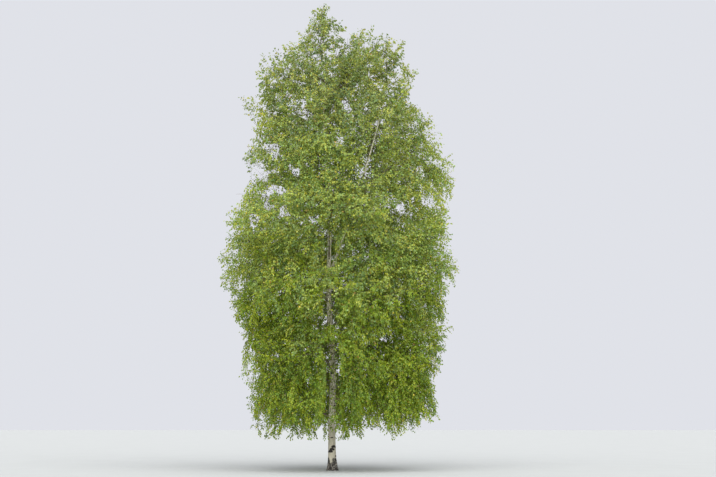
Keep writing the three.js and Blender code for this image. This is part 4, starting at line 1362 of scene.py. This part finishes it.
leaf_shape = shape_object("leaf shape", LEAF_OUTLINE, [(0, 1, 2), (0, 2, 3)])
twiglet_foot = [
    (TWIGLET_RADIUS * math.cos(turn), 0, TWIGLET_RADIUS * math.sin(turn)) for turn in TWIGLET_CORNERS]
twiglet_faces = [(0, 1, 2), (0, 3, 1), (1, 3, 2), (2, 3, 0)]
twiglet_shape = shape_object("twiglet shape", twiglet_foot + [(0, 1, -TWIGLET_SAG)], twiglet_faces)

# %% [markdown]
# ## White bark
# The white of a birch is thin paper, creamy or grey in places. It is darker low down, which is painted shade,
# and lighter higher up, which is painted light against the shade of the crown. It is crossed by short dark
# lines where the bark breathes, and brown under-bark shows where paper has peeled. The marks of shed branches
# and the cork at the foot are nearly black. The lines are noise that is stretched round the trunk and then
# cut at a threshold. The marks and the cork come from the values that the mesh holds, with noise to fray
# their edges.

# %% Material helpers
def ranged(tree, value, low, high, smooth=True):
    return node(tree, "ShaderNodeMapRange", {"Value": value, "From Min": low, "From Max": high},
                interpolation_type="SMOOTHSTEP" if smooth else "LINEAR").outputs[0]


def noise_at(tree, place, scale, detail=3.0, stretch=(1, 1, 1)):
    mapped = node(tree, "ShaderNodeMapping", {"Vector": place, "Scale": stretch}).outputs[0]
    return node(tree, "ShaderNodeTexNoise", {"Vector": mapped, "Scale": scale, "Detail": detail}).outputs[0]


def blended(tree, share, first, second, kind="MIX"):
    inputs = {0: share, 6: first, 7: second}
    return node(tree, "ShaderNodeMix", inputs, data_type="RGBA", blend_type=kind).outputs[2]


def maths(tree, kind, first, second):
    return node(tree, "ShaderNodeMath", {0: first, 1: second}, operation=kind).outputs[0]


def kept_value(tree, name):
    return node(tree, "ShaderNodeAttribute", attribute_name=name).outputs["Fac"]


def finish_bark(tree, colour, roughness, shine, height, strength, depth):
    """The end of every bark: a dull surface with a fine bump."""
    bump = node(tree, "ShaderNodeBump", {"Height": height, "Strength": strength, "Distance": depth})
    show_surface(tree, node(tree, "ShaderNodeBsdfPrincipled", {
        "Base Color": colour, "Roughness": roughness, "Specular IOR Level": shine,
        "Normal": bump.outputs[0]}))


# %% White paper
CLEAN_PAPER = ((0.55, 0.505, 0.39, 1), (0.88, 0.83, 0.68, 1))  # low down, darker as painted shade, and above, lighter as painted light against the crown's shade
GREY_PAPER = ((0.41, 0.37, 0.27, 1), (0.76, 0.69, 0.54, 1))
SHADE_TO_LIGHT_HEIGHTS = (0.8, 2.4)  # metres between which the painted shade low down gives way to painted light
UNDER_BARK = (0.42, 0.29, 0.19, 1)
LINE_COLOUR = (0.13, 0.105, 0.085, 1)

white_bark, tree, place = new_material("white birch bark")
height = node(tree, "ShaderNodeSeparateXYZ", {0: place}).outputs[2]
# Painted shade low on the trunk and painted light higher up, by height alone.
painted_shade_to_light = ranged(tree, height, *SHADE_TO_LIGHT_HEIGHTS)
clean, grey = blended(tree, painted_shade_to_light, *CLEAN_PAPER), blended(tree, painted_shade_to_light, *GREY_PAPER)
paper = blended(tree, ranged(tree, noise_at(tree, place, 3.0, 5.0, (1, 1, 0.5)), 0.35, 0.68), clean, grey)
peeled = ranged(tree, noise_at(tree, place, 4.0, 4.0, (1, 1, 3.5)), 0.64, 0.7)
paper = blended(tree, maths(tree, "MULTIPLY", peeled, 0.35), paper, UNDER_BARK)
lines = ranged(tree, noise_at(tree, place, 9.0, 2.0, (1, 1, 11)), 0.63, 0.68)
hairs = ranged(tree, noise_at(tree, place, 15.0, 2.0, (1, 1, 18)), 0.6, 0.72)
lines = maths(tree, "MAXIMUM", lines, maths(tree, "MULTIPLY", hairs, 0.3))
paper = blended(tree, maths(tree, "MULTIPLY", lines, 0.6), paper, LINE_COLOUR)
print("white paper takes", len(tree.nodes), "nodes")

# %% Marks and cork
MARK_COLOUR = (0.028, 0.024, 0.021, 1)
PLATE_COLOUR = (0.17, 0.15, 0.125, 1)
PLATE_WORN = (0.30, 0.28, 0.25, 1)
# The cracks are darker than the plates: their own dark bark, with painted shade in their depth.
CRACK_AND_SHADE_COLOUR = (0.022, 0.019, 0.017, 1)

fray = noise_at(tree, place, 34.0, 4.0)
mark = maths(tree, "ADD", kept_value(tree, "mark"), maths(tree, "MULTIPLY", fray, 0.5))
mark = ranged(tree, mark, 0.62, 0.7)
bark = blended(tree, mark, paper, MARK_COLOUR)
# Plates darken towards their cracks: partly dark bark, partly painted shade.
plate = blended(tree, kept_value(tree, "crack"), PLATE_COLOUR, CRACK_AND_SHADE_COLOUR)
plate = blended(tree, ranged(tree, noise_at(tree, place, 26.0, 5.0), 0.35, 0.75), plate, PLATE_WORN)
plate = blended(tree, ranged(tree, kept_value(tree, "crack"), 0.25, 0.7), plate, CRACK_AND_SHADE_COLOUR)
corky = maths(tree, "ADD", kept_value(tree, "cork"), maths(tree, "MULTIPLY", fray, 0.4))
corky = ranged(tree, corky, 0.6, 0.8)
bark = blended(tree, corky, bark, plate)
dull = maths(tree, "MAXIMUM", maths(tree, "MAXIMUM", mark, corky), lines)
fine = noise_at(tree, place, 90.0, 5.0, (1, 1, 2.5))
fine = maths(tree, "SUBTRACT", fine, maths(tree, "MULTIPLY", lines, 0.5))
finish_bark(tree, bark, ranged(tree, dull, -1.2, 1.3, smooth=False), 0.35, fine, 0.5, 0.004)
print("white bark has", len(tree.nodes), "nodes")

# %% [markdown]
# ## Bough and twig bark
# Boughs are white only when they are thick and old. The thinner ones are grey with a brown tinge, and the
# last twigs are a warm dark brown and a little glossy. All are dotted with lenticels. The same helpers make
# the three finishes, with other colours and a finer pattern.

# %% Bough and twig materials
def brown_bark(name, light, dark, dot, scale, roughness):
    material, tree, place = new_material(name)
    tone = blended(tree, ranged(tree, noise_at(tree, place, scale, 4.0), 0.35, 0.68), (*light, 1), (*dark, 1))
    dots = ranged(tree, noise_at(tree, place, 6 * scale, 2.0), 0.66, 0.72)
    tone = blended(tree, dots, tone, (*dot, 1))
    finish_bark(tree, tone, roughness, 0.3, noise_at(tree, place, 9 * scale, 4.0), 0.4, 0.003)
    return material


bough_finish = brown_bark(
    "grey bough bark", (0.33, 0.285, 0.24), (0.15, 0.115, 0.09), (0.10, 0.075, 0.06), 7.0, 0.7)
branch_finish = brown_bark(
    "brown branch bark", (0.12, 0.085, 0.062), (0.065, 0.043, 0.03), (0.22, 0.18, 0.14), 12.0, 0.6)
twig_finish = brown_bark(
    "warm twig bark", (0.10, 0.062, 0.037), (0.06, 0.035, 0.02), (0.20, 0.15, 0.11), 20.0, 0.5)
limb_finishes = [(trunk_mesh, white_bark), (leader_mesh, white_bark), (bough_mesh, bough_finish),
                 (shoot_mesh, branch_finish)]
for mesh, finish in limb_finishes:
    mesh.materials.append(finish)
    print(mesh.name, "has", finish.name)

# %% Branch and branchlet pieces
BRANCH_TIP_RADIUS = 0.003
BRANCHLET_RADII = (0.0034, 0.0012)  # at the foot and at the tip
LEVELS = ["low", "middle", "high"]
LEVEL_TOPS = [6.4, 10.4]  # by the height of the mass's foot


def level_of(mass):
    return int(np.searchsorted(LEVEL_TOPS, mass["line"][0][2]))


def branch_radius(line):
    """A branch is as thick at its foot as its length calls for."""
    return BRANCH_TIP_RADIUS + 0.0045 * (len(line) * STEP) ** 0.8


branch_lines = [b["line"] for b in branches + second_row]
branch_sizes = [np.linspace(branch_radius(line), BRANCH_TIP_RADIUS, len(line)) for line in branch_lines]
branch_mesh = line_mesh(branch_lines, branch_sizes)
branch_bark = run_tree("branch_bark", branch_mesh, tube_tree, {"Sides": 5, "Material": branch_finish})
branchlet_pieces = []
for level, label in enumerate(LEVELS):
    own = [b["line"] for b in branchlets if level_of(b["mass"]) == level]
    mesh = line_mesh(own, [np.linspace(*BRANCHLET_RADII, len(line)) for line in own])
    piece = run_tree(f"branchlets_{label}", mesh, tube_tree, {"Sides": 3, "Material": twig_finish})
    branchlet_pieces.append(piece)
    print(label, len(own), "branchlets,", len(piece.data.polygons), "faces")

# %% Twiglet pieces
owner_level = np.array([level_of(b["mass"]) for b in branchlets])
twiglet_pieces = []
for level, label in enumerate(LEVELS):
    own = owner_level[owners] == level
    mesh = point_mesh(roots[own], ways[own], over[own], spans[own])
    settings = {"Shape": twiglet_shape, "Material": twig_finish}
    piece = run_tree(f"twiglets_{label}", mesh, repeat_tree, settings)
    twiglet_pieces.append(piece)
    print(label, own.sum(), "twiglets,", len(piece.data.loop_triangles), "triangles")

# %% [markdown]
# ## Leaf colours
# In the photograph the leaves are a yellow green, lighter where a spray faces the sky and deeper inside, and
# a little greyer near the top, where the top level's greyer, bluer tints are painted sky light. A few are
# already yellow, and there is a fleck of orange brown here and there. Each spray gets one of three plain
# tints by chance, and each level of the crown has its own three, but no spray deep inside gets the lightest,
# which is painted shade. Noise makes some leaves warmer, or cooler with a painted bluish reflection of the
# sky, and darker or lighter than the next, partly in their own tone and partly as painted highlight and
# shade. Light also comes through a leaf, so part of the shader is translucent.

# %% Leaf materials
COOLER_PAINTED_REFLECTION, WARMER = (0.74, 0.94, 1.75), (1.28, 1.04, 0.75)  # changes of red, green and blue; the cooler one is a painted bluish reflection of the sky
SHONE_THROUGH = (1.35, 1.3, 0.8)
THROUGH_SHARE = 0.38  # of the light


def changed(colour, change):
    return (*(part * by for part, by in zip(colour, change)), 1)


def leaf_material(name, colour, contrast):
    material, tree, place = new_material(name)
    # Cooler leaves carry a painted bluish reflection of the sky; warmer ones differ in their own tone.
    reflection_and_warmth = ranged(tree, noise_at(tree, place, 9.0, 2.0, (1.2, 1.1, 1)), 0.36, 0.64)
    hue = blended(tree, reflection_and_warmth, changed(colour, COOLER_PAINTED_REFLECTION), changed(colour, WARMER))
    # Some leaves lighter, some darker: partly their own tone, partly painted highlight and painted shade.
    speckle_and_painted_light = ranged(tree, noise_at(tree, place, 14.0, 2.0), 0.34, 0.66)
    strength = blended(tree, speckle_and_painted_light, (*3 * [1 - contrast], 1), (*3 * [1 + contrast], 1))
    tone = blended(tree, 1.0, hue, strength, "MULTIPLY")
    face = node(tree, "ShaderNodeBsdfPrincipled", {
        "Base Color": tone, "Roughness": 0.4, "Specular IOR Level": 0.5})
    through = node(tree, "ShaderNodeBsdfTranslucent", {"Color": changed(colour, SHONE_THROUGH)})
    show_surface(tree, node(tree, "ShaderNodeMixShader", {
        0: THROUGH_SHARE, 1: face.outputs[0], 2: through.outputs[0]}))
    return material


# %% Dealing out the tints
TINT_NAMES = ["fresh", "plain", "deep"]
TINT_SHARES = [0.34, 0.42, 0.24]
TINTS = {  # for each level; the high level's greyer, bluer tints are painted sky light over the top
    "low": [(0.272, 0.353, 0.016), (0.217, 0.31, 0.016), (0.148, 0.234, 0.015)],
    "middle": [(0.36, 0.43, 0.064), (0.284, 0.372, 0.059), (0.196, 0.285, 0.05)],
    "high": [(0.343, 0.401, 0.081), (0.257, 0.328, 0.072), (0.166, 0.232, 0.057)],
}
# How much lighter or darker noise makes a leaf: partly own tone, partly painted highlight and shade.
CONTRASTS = {"low": 0.28, "middle": 0.48, "high": 0.48}
TINT_TOPS = [5.5, 11.2]  # heights of the levels for the tints
TINT_BLUR = 1.3  # metres by which a spray may be above or below them
PAINTED_SHADE_INSIDE = 0.5  # painted shade: within this share of the crown's radius no spray gets the light, fresh tint
TURNED = {"yellow": (0.45, 0.40, 0.05), "rusty": (0.38, 0.25, 0.05)}
TURNED_SHARES = [0.014, 0.006]
TURNED_CONTRAST = 0.4

spray_tips = np.array([b["line"][-1] for b in branchlets])
tint_level = np.searchsorted(TINT_TOPS, spray_tips[:, 2] + random.normal(0, TINT_BLUR, len(branchlets)))
dealt = random.choice(len(TINT_NAMES), len(branchlets), p=TINT_SHARES)
# Painted shade: sprays deep inside the crown lose the lightest tint.
dealt = np.where((crown_share(spray_tips) < PAINTED_SHADE_INSIDE) & (dealt == 0), 1, dealt)
turned_at = np.searchsorted(np.cumsum(TURNED_SHARES), random.uniform(0, 1, len(leaves["base"])), side="right")
print("sprays of each tint", np.bincount(dealt).tolist())

# %% Leaf pieces
leaf_pieces = []


def add_leaves(kind, chosen, colour, contrast, level=None):
    name = f"leaves_{kind}"
    own = only(leaves, chosen)
    own.pop("owner")
    material = leaf_material(name.replace("_", " "), colour, contrast)
    piece = run_tree(name, point_mesh(**own), repeat_tree, {"Shape": leaf_shape, "Material": material})
    leaf_pieces.append((piece, level))
    print(name, int(chosen.sum()), "leaves,", len(piece.data.polygons), "triangles")


leaf_level, leaf_tint = tint_level[leaves["owner"]], dealt[leaves["owner"]]
green = turned_at == len(TURNED)
for level, label in enumerate(LEVELS):
    for tint, (tint_name, colour) in enumerate(zip(TINT_NAMES, TINTS[label])):
        chosen = (leaf_level == level) & (leaf_tint == tint) & green
        add_leaves(f"{label}_{tint_name}", chosen, colour, CONTRASTS[label], level)
for number, (label, colour) in enumerate(TURNED.items()):
    add_leaves(label, turned_at == number, colour, TURNED_CONTRAST)

# %% [markdown]
# ## What each piece stands for
# A piece replaces the CAD solids whose place it takes: the bark meshes stand for the limbs, and the
# branchlets, twiglets and leaves of a level stand for the masses that start in that level. The solids stay in
# the physics model, and only stop showing. Nothing on a tree moves on a joint, so all pieces ride on its one
# body.

# %% Bodies and replaced nodes
def settle(piece, nodes=()):
    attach(piece, "root")
    if nodes:
        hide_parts(*nodes)


mass_names = [[m["name"] for m in masses if level_of(m) == level] for level in range(len(LEVELS))]
settle(trunk_bark, ["trunk"])
settle(leader_bark, ["second_leader"])
settle(bough_bark, [bough["name"] for bough in boughs])
settle(shoot_bark)
settle(branch_bark)
for level, (long_twigs, short_twigs) in enumerate(zip(branchlet_pieces, twiglet_pieces)):
    settle(long_twigs, mass_names[level])
    settle(short_twigs, mass_names[level])
for piece, level in leaf_pieces:
    settle(piece, () if level is None else mass_names[level])
print("masses by level", [len(names) for names in mass_names])
